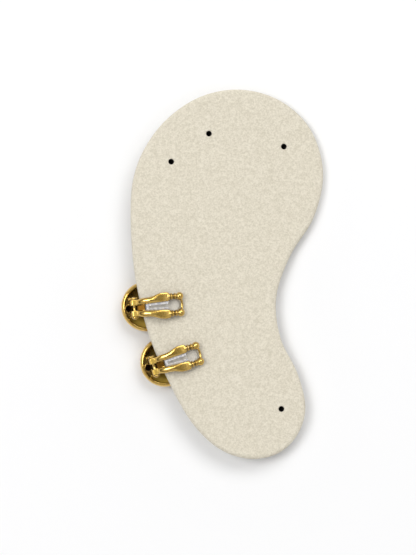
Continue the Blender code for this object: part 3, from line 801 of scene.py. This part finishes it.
# Painted light: one side of the hollow is more matt, and so lighter.
painted_light_share = MATT_ON_PAINTED_DARK_SIDE + (1 - MATT_ON_PAINTED_DARK_SIDE) * fade(across, *PAINTED_LIGHT_ACROSS)
mark(shell, "matt_and_painted_light", inside * fade(level, *MATT_HEIGHTS) * painted_light_share)
from_spot = np.linalg.norm(positions(shell)[:, :2] - PAINTED_SHADOW_CENTRE, axis=1)
# Painted shade under the lip, and painted shadow under the collar.
ring = RING_PAINTED_SHADE * fade(level, *RING_HEIGHTS)
painted_shadow_spot = fade(from_spot, *PAINTED_SHADOW_RADII)
mark(shell, "painted_shade", inside * np.maximum(ring, painted_shadow_spot))
print("hollow:", int(inside.sum()), "points of the shell")

# %% [markdown]
# ## Cast and soldered parts
# The bracket inside the button is a strap with two ears and a collar, soldered together. The lever is cast in
# one. Such parts have no sharp corners where they meet: solder and casting leave small fillets. Their parts
# are modelled simply, laid over each other, and melted into one skin by a voxel remesh and some smoothing.

# %% Melt parts together
VOXEL = 0.075 * MM


def melted(shapes, smoothing):
    """Closed shapes as one skin with soft inner corners."""
    whole = bmesh.new()
    for shape in shapes:
        mesh = as_mesh(shape, "part")
        whole.from_mesh(mesh)
        bpy.data.meshes.remove(mesh)
    obj = add_object("melted", as_mesh(whole, "melted"))
    remesh = obj.modifiers.new("One skin", "REMESH")
    remesh.mode = "VOXEL"
    remesh.voxel_size = VOXEL
    soften = obj.modifiers.new("Soften", "SMOOTH")
    soften.factor = 0.5
    soften.iterations = smoothing
    return applied(obj)


def slab(points, normal):
    """A closed slab: a flat outline of 3-D points, extruded along a vector."""
    shape = bmesh.new()
    face = shape.faces.new([shape.verts.new(point) for point in points])
    grown_out = bmesh.ops.extrude_face_region(shape, geom=[face])["geom"]
    moved = [item for item in grown_out if isinstance(item, bmesh.types.BMVert)]
    bmesh.ops.translate(shape, vec=normal, verts=moved)
    bmesh.ops.recalc_face_normals(shape, faces=shape.faces)
    return shape


print("melting helpers ready")

# %% The hinge bracket
STRAP_WIDTH = 6.0 * MM
STRAP_THICKNESS = 0.7 * MM
STRAP_TOP = RIM_HEIGHT - 0.2 * MM
COLLAR_HOLE_RADIUS = 0.95 * MM
COLLAR_WALL = 0.27 * MM
COLLAR_HEIGHT = 0.15 * MM
COLLAR_FROM_LIP = 0.18 * MM
EAR_THICKNESS = 0.4 * MM
BORE_RADIUS = 0.5 * MM
EAR_RADIUS = BORE_RADIUS + 0.45 * MM
EAR_FOOT_FRONT = 1.2 * MM
EAR_FOOT_BACK = 1.3 * MM
EAR_ARC = (math.radians(-12), math.radians(200))
COLLAR_SIDES = 48


def ring_band(outer, inner, axis_at):
    """A closed band between an outer and an inner loop, at two places along an axis."""
    shape = bmesh.new()
    outer_low, outer_high, inner_low, inner_high = (
        [shape.verts.new(axis_at(point, end)) for point in loop]
        for loop in (outer, inner)
        for end in (0, 1)
    )
    bridge(shape, [outer_low, outer_high, inner_high, inner_low, outer_low])
    bmesh.ops.recalc_face_normals(shape, faces=shape.faces)
    return shape


def strap_shape():
    """The strap, with ends that follow the button's rim. The hole under the collar is cut from it later."""
    reach = (BUTTON_LIP_RADIUS + BUTTON_RADIUS - BUTTON_WALL) / 2
    swing = math.asin(STRAP_WIDTH / 2 / reach)
    arc = [(reach * math.cos(a), reach * math.sin(a)) for a in np.linspace(-swing, swing, 13)]
    ring = arc + [(-x, -y) for x, y in arc]
    points = [(BUTTON_FROM_HINGE + x, BUTTON_SIDE_SHIFT + y, STRAP_TOP) for x, y in ring]
    return slab(points, (0, 0, -STRAP_THICKNESS))


def ear_shape(side):
    """One ear: a foot on the strap, and a round top about the pin."""
    foot = STRAP_TOP - STRAP_THICKNESS / 2
    arc = np.linspace(*EAR_ARC, 25)
    outline = [(EAR_FOOT_FRONT, foot)]
    outline += [(EAR_RADIUS * math.cos(a), EAR_RADIUS * math.sin(a)) for a in arc]
    outline.append((-EAR_FOOT_BACK, foot))
    outer = side * STRAP_WIDTH / 2
    return slab([(x, outer, z) for x, z in outline], (0, -side * EAR_THICKNESS, 0))


def collar_shape():
    """The collar: a short round band on the strap. Its crest is softened later, when the bracket is melted.
    """
    middle = BUTTON_FROM_HINGE - BUTTON_LIP_RADIUS + COLLAR_FROM_LIP + COLLAR_HOLE_RADIUS + COLLAR_WALL
    heights = (STRAP_TOP - STRAP_THICKNESS / 2, STRAP_TOP + COLLAR_HEIGHT)
    outer = circle((middle, 0), COLLAR_HOLE_RADIUS + COLLAR_WALL, COLLAR_SIDES)
    inner = circle((middle, 0), COLLAR_HOLE_RADIUS, COLLAR_SIDES)
    return ring_band(outer, inner, lambda p, end: (p.x, p.y, heights[end])), middle


print("bracket shapes ready")

# %% Cut or join two shapes


def boolean(mesh, shape, operation):
    """An object with a modifier that cuts a shape from it or joins one to it, and the shape's object."""
    obj = add_object("whole", mesh)
    tool = add_object("tool", as_mesh(shape, "tool"))
    modifier = obj.modifiers.new("Boolean", "BOOLEAN")
    modifier.operation = operation
    modifier.object = tool
    return obj, tool


def rod(radius, start, end, sides):
    """A closed round rod between two points."""
    start, end = Vector(start), Vector(end)
    shape = bmesh.new()
    bmesh.ops.create_cone(
        shape, cap_ends=True, segments=sides, radius1=radius, radius2=radius, depth=(end - start).length
    )
    turn = Vector((0, 0, 1)).rotation_difference(end - start).to_matrix().to_4x4()
    bmesh.ops.transform(shape, matrix=Matrix.Translation((start + end) / 2) @ turn, verts=shape.verts)
    return shape


print("rod and boolean ready")

# %% Solder the bracket
BRACKET_SMOOTHING = 5
BRACKET_SATIN = 0.5
# Painted shade: the bracket is darker deep in the hollow and on the strap between the ears.
DEEP_PAINTED_SHADE = 0.5
DEEP_HEIGHTS = (-0.6 * MM, -3.0 * MM)
BETWEEN_EARS_PAINTED_SHADE = 0.4
BETWEEN_EARS_ALONG = (-0.9 * MM, -0.5 * MM)

collar, collar_middle = collar_shape()
hole_foot = (collar_middle, 0, STRAP_TOP - 2 * STRAP_THICKNESS)
collar_hole = rod(COLLAR_HOLE_RADIUS, hole_foot, (collar_middle, 0, STRAP_TOP), COLLAR_SIDES)
strap = mesh_shape(applied(*boolean(as_mesh(strap_shape(), "strap"), collar_hole, "DIFFERENCE")))
ears = [ear_shape(end) for end in (-1, 1)]
bracket = melted([strap, *ears, collar], BRACKET_SMOOTHING)

along, across, height = positions(bracket).T
deep = fade(height, *DEEP_HEIGHTS)
between_ears = np.abs(across) < STRAP_WIDTH / 2 - 1.1 * EAR_THICKNESS
between_ears = between_ears * fade(along, *BETWEEN_EARS_ALONG)
mark(bracket, "satin", np.full(len(along), BRACKET_SATIN))
# Painted shade, deep down and between the ears.
mark(bracket, "painted_shade", DEEP_PAINTED_SHADE * deep + BETWEEN_EARS_PAINTED_SHADE * between_ears)
print("bracket:", len(bracket.vertices), "points")

# %% [markdown]
# ## The lever's arms
# The lever is a fork. Each arm leaves the hinge as a round bar, rises, and widens to a flat paddle. A table
# gives the arm's edges, its height and how square its section is at eleven places, and a smooth curve runs
# through the rows, so that the arm flows from round to flat without a step.

# %% The arm's table
LEVER_REACH = 13.6 * MM
LEVER_HALF_WIDTH = 3.9 * MM
LEVER_RISE = 3.2 * MM
ARM_DEPTH = 1.3 * MM
SLOT_WIDTH_AT_HINGE = 1.6 * MM
SLOT_WIDTH_AT_NECK = 2.6 * MM
SLOT_END = 0.73 * LEVER_REACH
KNUCKLE_OUTER = STRAP_WIDTH / 2 - EAR_THICKNESS - 0.1 * MM
KNUCKLE_RADIUS = BORE_RADIUS + 0.55 * MM
KNUCKLE_SQUARENESS = 3.2
ARM_STEPS = 6

# Columns: reach, inner, outer, top, depth, squareness. Shares of the sizes above, from the hinge outwards.
ARM_SECTIONS = (
    (0.040, 0.00, 0.00, 0.28, 1.00, 2.6),
    (0.095, 0.00, 0.03, 0.53, 1.15, 2.2),
    (0.190, 0.00, 0.24, 0.76, 1.12, 2.0),
    (0.300, 0.00, 0.27, 0.89, 1.04, 2.0),
    (0.400, 0.00, 0.42, 0.96, 0.98, 2.2),
    (0.490, 0.00, 0.72, 1.00, 0.94, 2.8),
    (0.570, 0.00, 0.95, 1.00, 0.92, 4.4),
    (0.660, 0.00, 1.00, 0.97, 0.90, 5.4),
    (0.730, 0.00, 0.98, 0.92, 0.90, 5.4),
    (0.765, 0.04, 0.86, 0.885, 0.86, 4.4),
    (0.785, 0.14, 0.58, 0.86, 0.76, 3.0),
)


def smooth_rows(rows, steps):
    """The rows of a table with smooth steps between them. A row's slope is its neighbours' mean slope."""
    rows = np.array(rows)
    ends = np.vstack([rows[:1], rows, rows[-1:]])
    made = []
    for a, b, c, d in zip(ends, ends[1:], ends[2:], ends[3:]):
        slope, bend, twist = c - a, 2 * a - 5 * b + 4 * c - d, 3 * b - 3 * c + d - a
        made += [b + t / 2 * slope + t**2 / 2 * bend + t**3 / 2 * twist for t in np.arange(steps) / steps]
    return np.array(made + [rows[-1]])


arm_rows = smooth_rows(ARM_SECTIONS, ARM_STEPS)
print("arm:", len(arm_rows), "sections")

# %% Loft through sections
SECTION_POINTS = 40


def oval(half_width, half_height, squareness, count=SECTION_POINTS):
    """Points round a superellipse: an oval at 2, nearer a rounded box above it."""
    angles = 2 * math.pi * (np.arange(count) + 0.5) / count
    c, s = np.cos(angles), np.sin(angles)
    xs = half_width * np.sign(c) * np.abs(c) ** (2 / squareness)
    ys = half_height * np.sign(s) * np.abs(s) ** (2 / squareness)
    return list(zip(xs, ys))


def lofted(rings):
    """A closed body through rings of points."""
    shape = bmesh.new()
    loops = [[shape.verts.new(point) for point in ring] for ring in rings]
    bridge(shape, loops)
    shape.faces.new(loops[0])
    shape.faces.new(loops[-1])
    bmesh.ops.recalc_face_normals(shape, faces=shape.faces)
    return shape


print("loft helpers ready")

# %% The arms, the knuckles and the web
WEB_THICKNESS = 0.5 * MM
WEB_END = 3.1 * MM
# Columns: reach, rise. Where the web's underside starts and ends.
WEB_ENDS = ((0.78 * MM, 0.35 * MM), (WEB_END, 0.95 * MM))


def slot_half_width(reach):
    """Half the width of the slot between the arms."""
    share = reach / SLOT_END
    return (SLOT_WIDTH_AT_HINGE * (1 - share) + SLOT_WIDTH_AT_NECK * share) / 2


def arm_section(row):
    """Inner edge, outer edge, middle height and half depth of a row."""
    slot = slot_half_width(row[0] * LEVER_REACH)
    inner = slot + row[1] * (LEVER_HALF_WIDTH - slot)
    outer = KNUCKLE_OUTER + row[2] * (LEVER_HALF_WIDTH - KNUCKLE_OUTER)
    half_depth = row[4] * ARM_DEPTH / 2
    return inner, outer, row[3] * LEVER_RISE - half_depth, half_depth


def arm_shape(side):
    """One arm, lofted through the smooth table."""
    rings = []
    for row in arm_rows:
        inner, outer, height, half_depth = arm_section(row)
        section = oval((outer - inner) / 2, half_depth, row[5])
        middle = side * (inner + outer) / 2
        rings.append([(row[0] * LEVER_REACH, middle + y, height + z) for y, z in section])
    return lofted(rings)


def knuckle_shape(side):
    """A squarish barrel round the pin's bore."""
    outer = [Vector(point) for point in oval(KNUCKLE_RADIUS, KNUCKLE_RADIUS, KNUCKLE_SQUARENESS, 64)]
    inner = [point.normalized() * BORE_RADIUS for point in outer]
    ends = (side * SLOT_WIDTH_AT_HINGE / 2, side * KNUCKLE_OUTER)
    return ring_band(outer, inner, lambda p, end: (p.x, ends[end], p.y))


def web_shape():
    """The plate between the arms, from the hinge to the comfort pad."""
    rings = []
    for reach, rise in WEB_ENDS:
        half = slot_half_width(reach) + WEB_THICKNESS / 2
        top = rise + WEB_THICKNESS
        rings.append([(reach, y, z) for y, z in ((-half, rise), (half, rise), (half, top), (-half, top))])
    return lofted(rings)


print("arm, knuckle and web shapes ready")

# %% [markdown]
# ## Ribbed necks, balls and the bar
# Each arm ends in a thin neck with two ribs and a ball, and a bowed bar joins the balls. The ribs repeat
# along the neck, so a tree makes them: a line from the arm to the ball, a thin tube along it, ribs set on
# evenly spread points of it, and the ball at its end. A second tree bends a rod between two points.

# %% The neck tree and the bar tree
NECK_RADIUS = 0.74 * MM
NECK_RIB_RADIUS = 1.04 * MM
NECK_RIB_HALF_LENGTH = 0.42 * MM
BALL_RADIUS = 1.2 * MM
BALL_SPACING = 4.9 * MM
BALL_CLEARANCE = 0.5 * MM
BALL_HEIGHT = BALL_CLEARANCE + BALL_RADIUS
CROSSBAR_RADIUS = 0.36 * MM
CROSSBAR_BOW = 0.6 * MM
CROSSBAR_DROP = 0.4 * MM


def neck_tree():
    """A neck from start to end, with ribs between two shares of its length and a ball at its end."""
    inputs = {
        "Start": "Vector",
        "End": "Vector",
        "Neck Radius": "Float",
        "Rib Size": "Vector",
        "Ribs": "Int",
        "First Rib": "Float",
        "Last Rib": "Float",
        "Ball Radius": "Float",
    }
    tree, given = start_tree("ribbed_neck", inputs)
    line = tree_node(tree, "CurvePrimitiveLine", Start=given["Start"], End=given["End"])
    ring = tree_node(tree, "CurvePrimitiveCircle", Resolution=32, Radius=given["Neck Radius"])
    tube = swept(tree, line, ring)
    values = {0: line, 2: given["First Rib"], 3: given["Last Rib"]}
    middle = add_node(tree, "GeometryNodeTrimCurve", values).outputs[0]
    values = {"Curve": middle, "Count": given["Ribs"]}
    points = add_node(tree, "GeometryNodeCurveToPoints", values).outputs
    bead = tree_node(tree, "MeshUVSphere", Segments=32, Rings=16, Radius=1.0)
    turned_beads = {"Points": points["Points"], "Rotation": points["Rotation"]}
    ribs = tree_node(tree, "InstanceOnPoints", **turned_beads, Instance=bead, Scale=given["Rib Size"])
    ball = tree_node(tree, "MeshUVSphere", Segments=40, Rings=24, Radius=given["Ball Radius"])
    ball = tree_node(tree, "Transform", Geometry=ball, Translation=given["End"])
    whole = add_node(tree, "GeometryNodeJoinGeometry")
    for part in (tube, ribs, ball):
        tree.links.new(part, whole.inputs[0])
    return end_tree(tree, given, whole.outputs[0])


def bar_tree():
    """A round rod, bent between two points by a third."""
    inputs = {"Start": "Vector", "Bend": "Vector", "End": "Vector", "Radius": "Float"}
    tree, given = start_tree("bent_bar", inputs)
    ends = {"Start": given["Start"], "End": given["End"]}
    path = tree_node(tree, "CurveQuadraticBezier", Resolution=24, Middle=given["Bend"], **ends)
    ring = tree_node(tree, "CurvePrimitiveCircle", Resolution=24, Radius=given["Radius"])
    return end_tree(tree, given, swept(tree, path, ring))


ribbed_neck = neck_tree()
bent_bar = bar_tree()
print("neck tree:", len(ribbed_neck.nodes), "nodes; bar tree:", len(bent_bar.nodes), "nodes")

# %% Cast the lever
LEVER_SMOOTHING = 7
# The neck starts inside the paddle, two rows of the table before its end.
NECK_ROW = arm_rows[-2 * ARM_STEPS - 1]


def neck_ends(side):
    """Where a neck starts, in its paddle, and where it ends, in the middle of its ball."""
    inner, outer, height, _ = arm_section(NECK_ROW)
    start = (NECK_ROW[0] * LEVER_REACH, side * (inner + outer) / 2, height)
    return start, (LEVER_REACH, side * BALL_SPACING / 2, BALL_HEIGHT)


def neck_shape(side):
    """One arm's neck, ribs and ball."""
    start, end = neck_ends(side)
    values = {
        "Start": start,
        "End": end,
        "Neck Radius": NECK_RADIUS,
        "Rib Size": (NECK_RIB_RADIUS, NECK_RIB_RADIUS, NECK_RIB_HALF_LENGTH),
        "Ribs": 2,
        "First Rib": 0.32,
        "Last Rib": 0.62,
        "Ball Radius": BALL_RADIUS,
        "Material": gold,
    }
    return mesh_shape(grown(ribbed_neck, values))


def crossbar_shape():
    """The bowed bar between the balls."""
    bow = Vector((LEVER_REACH + 2 * CROSSBAR_BOW, 0, BALL_HEIGHT - 2 * CROSSBAR_DROP))
    ends = [Vector((LEVER_REACH, side * BALL_SPACING / 2, BALL_HEIGHT)) for side in (-1, 1)]
    values = {"Start": ends[0], "Bend": bow, "End": ends[1], "Radius": CROSSBAR_RADIUS, "Material": gold}
    return mesh_shape(grown(bent_bar, values))


parts = [web_shape(), crossbar_shape()]
for side in (-1, 1):
    parts += [arm_shape(side), knuckle_shape(side), neck_shape(side)]
lever = melted(parts, LEVER_SMOOTHING)
print("lever:", len(lever.vertices), "points")

# %% [markdown]
# The lever is brushed on its paddles and dull on its knuckles. Painted shade darkens its undersides, the web
# and the grooves between the ribs: the points close to the neck's middle line that aren't on the ball.

# %% Mark the lever
PADDLE_START = (4.5 * MM, 7.0 * MM)
PADDLE_END = (10.8 * MM, 10.4 * MM)
KNUCKLE_END = (1.3 * MM, 0.9 * MM)
KNUCKLE_SATIN = 0.8
KNUCKLE_MATT = 0.3
# How far a normal looks up.
TURNED_AWAY = (0.45, 0.0)
# Painted shade: on undersides, on the web and in the grooves.
UNDERSIDE_PAINTED_SHADE = 0.7
GROOVE_RADII = (0.95 * MM, 0.78 * MM)
GROOVES_START = (10.5 * MM, 10.8 * MM)
GROOVE_PAINTED_SHADE = 0.75
WEB_FADE = (WEB_END + 0.3 * MM, WEB_END)
WEB_MARGIN = 0.05 * MM
BALL_MARGIN = 0.03 * MM

reach, across, height = positions(lever).T
across = np.abs(across)
paddles = fade(reach, *PADDLE_START) * fade(reach, *PADDLE_END)
knuckles = fade(reach, *KNUCKLE_END)
web = (across < SLOT_WIDTH_AT_HINGE / 2 + WEB_MARGIN) * fade(reach, *WEB_FADE)
mark(lever, "satin", np.maximum.reduce([paddles, KNUCKLE_SATIN * knuckles, web]))
mark(lever, "matt_and_painted_light", KNUCKLE_MATT * knuckles)

neck_start, neck_end = (np.array(point) for point in neck_ends(1))
neck = (neck_end - neck_start) / np.linalg.norm(neck_end - neck_start)
points = np.stack([reach, across, height], axis=1)
off_neck = np.linalg.norm(np.cross(points - neck_start, neck), axis=1)
off_ball = np.linalg.norm(points - neck_end, axis=1) > BALL_RADIUS + BALL_MARGIN
grooves = off_ball * fade(off_neck, *GROOVE_RADII) * fade(reach, *GROOVES_START)
# Painted shade on the undersides, the web and the grooves.
undersides = fade(upright(lever), *TURNED_AWAY)
shaded_by_paint = [UNDERSIDE_PAINTED_SHADE * undersides, web, GROOVE_PAINTED_SHADE * grooves]
mark(lever, "painted_shade", np.maximum.reduce(shaded_by_paint))
print("tarnished points of the lever:", int((np.maximum.reduce(shaded_by_paint) > 0.5).sum()))

# %% [markdown]
# ## The comfort pad
# The clear insert has a long tongue between the arms, with a flat top and bevelled shoulders, and steps down
# in an arc to a thin round disc that presses on the ear. The tongue is lofted, the arc is cut with a round
# cutter, the disc is added, and a narrow bevel gives every edge a thin face, which is painted as a bright
# line.

# %% The comfort pad's sizes
TONGUE_START = WEB_END + 0.3 * MM
TONGUE_SIDE_GAP = 0.1 * MM
TONGUE_BELOW_ARMS = 0.15 * MM
TONGUE_BEVEL_DROP = 0.5 * MM
TONGUE_END_DROP = 0.125 * MM
TONGUE_FLAT_SHARE = 0.42
TONGUE_SIDE_DEPTH = 0.55 * MM
TONGUE_INTO_DISC = 0.4 * MM
DISC_RADIUS = 1.7 * MM
DISC_THICKNESS = 0.6 * MM
DISC_CENTRE = LEVER_REACH - 2.0 * MM
DISC_BOTTOM = 0.5 * MM
DISC_STEP_GAP = 0.05 * MM
FOOT_HEIGHT = DISC_BOTTOM + 0.15 * MM

# Columns: along, bevel, dip. How far along to the disc's edge, how much of the end bevel the top has taken,
# and how far the foot has dropped to the disc.
TONGUE_SECTIONS = (
    (0.00, 1.0, 0.0),
    (0.11, 0.0, 0.0),
    (0.25, 0.0, 0.0),
    (0.40, 0.0, 0.0),
    (0.54, 0.0, 0.0),
    (0.68, 0.0, 0.0),
    (0.76, 0.0, 0.2),
    (0.84, 0.0, 0.5),
    (0.91, 0.0, 0.82),
    (0.96, 0.0, 1.0),
)
print("tongue table:", len(TONGUE_SECTIONS), "sections")

# %% Mould the comfort pad
EDGE_BEVEL = 0.05 * MM
DISC_SIDES = 96


def tongue_shape():
    """The bevelled tongue, with a foot that drops to the disc."""
    edge = DISC_CENTRE - DISC_RADIUS
    length = edge - TONGUE_START
    sections = [(TONGUE_START + along * length, bevel, dip) for along, bevel, dip in TONGUE_SECTIONS]
    sections.append((edge + TONGUE_INTO_DISC, *sections[-1][1:]))
    rings = []
    for reach, bevel, dip in sections:
        half = slot_half_width(reach) - TONGUE_SIDE_GAP
        arm_top = np.interp(reach, arm_rows[:, 0] * LEVER_REACH, arm_rows[:, 3] * LEVER_RISE)
        crest = arm_top - TONGUE_BELOW_ARMS
        top = crest - bevel * TONGUE_BEVEL_DROP
        shoulder = crest - TONGUE_BEVEL_DROP - bevel * TONGUE_END_DROP
        foot = (shoulder - TONGUE_SIDE_DEPTH) * (1 - dip) + FOOT_HEIGHT * dip
        flat = half * TONGUE_FLAT_SHARE
        ring = [(half, foot), (half, shoulder), (flat, top), (-flat, top), (-half, shoulder), (-half, foot)]
        rings.append([(reach, y, z) for y, z in ring])
    return lofted(rings)


def disc_rod(radius, low, high):
    """A round rod on the disc's centre, between two heights."""
    return rod(radius, (DISC_CENTRE, 0, low), (DISC_CENTRE, 0, high), DISC_SIDES)


def comfort_pad():
    """Tongue and disc in one, with narrow edges, which the glint mark paints bright."""
    disc_top = DISC_BOTTOM + DISC_THICKNESS
    step = disc_rod(DISC_RADIUS + DISC_STEP_GAP, disc_top - DISC_STEP_GAP, disc_top + LEVER_RISE)
    cut = applied(*boolean(as_mesh(tongue_shape(), "tongue"), step, "DIFFERENCE"))
    whole, disc = boolean(cut, disc_rod(DISC_RADIUS, DISC_BOTTOM, disc_top), "UNION")
    edges = whole.modifiers.new("Edges", "BEVEL")
    edges.width = EDGE_BEVEL
    edges.segments = 2
    edges.limit_method = "ANGLE"
    edges.angle_limit = math.radians(25)
    return applied(whole, disc)


insert = comfort_pad()
print("comfort pad:", len(insert.vertices), "points")

# %% Mark the painted glints
# Faces smaller than this are those of the bevels. A slope is a normal's share of up: from flat to sloped.
SMALL_FACE = (0.3 * MM) ** 2
# Painted highlight: how opaque and white the bevels and upward slopes are drawn.
EDGE_GLINT = 0.95
SLOPE_GLINT = 0.7
SLOPES = (0.99, 0.85)
LEAST_UP = 0.2

tilts = np.array([face.normal.z for face in insert.polygons])
small = np.array([face.area for face in insert.polygons]) < SMALL_FACE
sloped = SLOPE_GLINT * fade(np.abs(tilts), *SLOPES) * (tilts > LEAST_UP)
mark(insert, "glint", np.where(small, EDGE_GLINT, sloped), "FACE")
print("edges that glint:", int(small.sum()), "faces")

# %% [markdown]
# ## Hinge pin and spring leaf
# The pin is turned: a plain shaft with a low domed head at each end. The leaf is a strip of spring brass. It
# lies flat on the strap and bends up behind the knuckles, and it holds the lever open or shut. One more tree
# sweeps a flat section along a path, which is how such a strip is made: one width, one thickness, one bend.

# %% Pin and leaf
PIN_RADIUS = 0.4 * MM
PIN_HEAD_RADIUS = 0.7 * MM
PIN_HEAD_HEIGHT = 0.32 * MM
PIN_SEAT = STRAP_WIDTH / 2 + 0.05 * MM
PIN_SIDES = 32
# Painted shade: the leaf, and the pin between the ears, are darkened.
HINGE_PAINTED_SHADE = 0.85
LEAF_THICKNESS = 0.22 * MM
LEAF_WIDTH = 3.2 * MM
LEAF_LOW = STRAP_TOP + 0.1 * MM + LEAF_THICKNESS / 2
# Columns: reach, height. The leaf's flat end, where its bend starts, the bend's corner, and its tip.
LEAF_END = Vector((4.6 * MM, LEAF_LOW))
LEAF_BEND = Vector((1.4 * MM, LEAF_LOW))
LEAF_CORNER = Vector((0.5 * MM, LEAF_LOW))
LEAF_TIP = Vector((-0.8 * MM, -1.61 * MM))


def strip_tree():
    """A flat strip along a path."""
    tree, given = start_tree("bent_strip", {"Path": "Geometry", "Width": "Float", "Thickness": "Float"})
    path = tree_node(tree, "MeshToCurve", Mesh=given["Path"])
    sides = {"Width": given["Width"], "Height": given["Thickness"]}
    section = tree_node(tree, "CurvePrimitiveQuadrilateral", **sides)
    return end_tree(tree, given, swept(tree, path, section))


def leaf_path():
    """The leaf's middle line: flat on the strap, then bent up behind the pin."""
    path = [LEAF_END]
    for t in np.linspace(0, 1, 16):
        path.append(LEAF_BEND.lerp(LEAF_CORNER, t).lerp(LEAF_CORNER.lerp(LEAF_TIP, t), t))
    return [(x, 0, z) for x, z in path]


bent_strip = strip_tree()
path = leaf_path()
values = {"Width": LEAF_WIDTH, "Thickness": LEAF_THICKNESS, "Material": gold}
leaf = grown(bent_strip, values, path, chain(path))
# Painted shade on the leaf.
mark(leaf, "painted_shade", np.full(len(leaf.vertices), HINGE_PAINTED_SHADE))

round_over = np.linspace(0, math.pi / 2, 10)
head = [(PIN_HEAD_RADIUS * math.sin(a), PIN_SEAT + PIN_HEAD_HEIGHT * math.cos(a)) for a in round_over]
head.append((PIN_RADIUS, PIN_SEAT))
pin = turned(head + [(radius, -height) for radius, height in reversed(head)], PIN_SIDES, gold)
# Painted shade on the pin's shaft between the ears.
mark(pin, "painted_shade", HINGE_PAINTED_SHADE * (np.abs(positions(pin)[:, 2]) < STRAP_WIDTH / 2))
along_hinge = Matrix.Rotation(math.pi / 2, 4, "X")
print("leaf:", len(leaf.vertices), "points; pin:", len(pin.vertices), "points")

# %% [markdown]
# ## Both earrings in their places
# Every shape above is in the clip's frame, so each earring needs only its own matrix. The lever and the
# comfort pad ride on the moving body of their clip, and all else rides on the board. The clear insert keeps
# its sharp edges, because smooth shading would blur its bevels.

# %% Place the pair
# Columns: the piece, its mesh, its place in the clip's frame, and the CAD node that it replaces.
FIXED_PIECES = (
    ("button_shell", shell, button_middle, "button"),
    ("hinge_bracket", bracket, Matrix(), "button"),
    ("pin", pin, along_hinge, "hinge_pin"),
    ("leaf", leaf, Matrix(), "spring_leaf"),
)
INSERT_SHARPNESS = math.radians(20)

for side, (place, lever_body) in clips.items():
    for name, mesh, local, node in FIXED_PIECES:
        shape = mesh_shape(mesh, place @ local)
        piece(f"{name}_{side}", shape, gold, "root", [f"{node}_{side}"])
    shape = mesh_shape(lever, place)
    piece(f"cast_lever_{side}", shape, gold, lever_body, [f"lever_{side}"])
    shape = mesh_shape(insert, place)
    replaced = [f"comfort_pad_{side}"]
    clear_piece = piece(f"clear_insert_{side}", shape, clear, lever_body, replaced)
    clear_piece.data.set_sharp_from_angle(angle=INSERT_SHARPNESS)

# %% [markdown]
# ## Floor and light
# The photograph has a white ground and soft light that comes mostly from beyond the upper right, with less
# from the left. The floor is a pale plane. Two softboxes stand at those two sides, and the world between them
# has bright and dark bands by height, so that the gold has both bright and dark things to reflect.

# %% Floor and light
FLOOR_SIZE = 4.0
FLOOR_COLOUR = (0.885, 0.889, 0.897, 1)
# Columns: name, place, size, power. Lengths in metres and powers in watts.
SOFTBOXES = (
    ("key_softbox", (0.58, 1.22, 1.72), (1.6, 1.0), 18.5),
    ("left_softbox", (-0.84, 0.28, 1.86), (0.8, 0.8), 16),
)
# The world is bright and dark in turns by height, where 0 is level and 1 is overhead. It is bright at one
# height, and the turn is the wave's, in radians, from level to overhead.
BAND_TURN = 11.4
BRIGHT_HEIGHT = 0.2
BAND_CONTRAST = 0.38
MEAN_BRIGHTNESS = 0.51
WORLD_COLOUR = (1.0, 0.99, 0.98, 1)


def floor():
    """A pale floor that is no part of the object."""
    mesh = bpy.data.meshes.new("floor")
    half = FLOOR_SIZE / 2
    corners = [(-half, -half, 0), (half, -half, 0), (half, half, 0), (-half, half, 0)]
    mesh.from_pydata(corners, [], [(0, 1, 2, 3)])
    obj = add_object("floor", mesh)
    material, _, _ = new_material("pale_floor", Base_Color=FLOOR_COLOUR, Roughness=0.9)
    mesh.materials.append(material)


def softbox(name, place, size, power):
    """A rectangular area light that faces the middle of the floor."""
    light = bpy.data.lights.new(name, "AREA")
    light.shape = "RECTANGLE"
    light.size, light.size_y = size
    light.energy = power
    obj = add_object(name, light)
    obj.location = place
    obj.rotation_euler = (-Vector(place)).to_track_quat("-Z", "Y").to_euler()


floor()
for row in SOFTBOXES:
    softbox(*row)

world = bpy.data.worlds.new("studio")
world.use_nodes = True
bpy.context.scene.world = world
tree = world.node_tree
direction = add_node(tree, "ShaderNodeTexCoord").outputs["Generated"]
height = add_node(tree, "ShaderNodeSeparateXYZ", {0: direction}).outputs["Z"]
wave = calculated(tree, "MULTIPLY_ADD", height, BAND_TURN, -BAND_TURN * BRIGHT_HEIGHT)
bands = calculated(tree, "COSINE", wave)
shade = calculated(tree, "MULTIPLY_ADD", bands, BAND_CONTRAST, MEAN_BRIGHTNESS)
feed(tree.nodes["Background"], Strength=shade)
tree.nodes["Background"].inputs["Color"].default_value = WORLD_COLOUR
print("floor and lights ready")
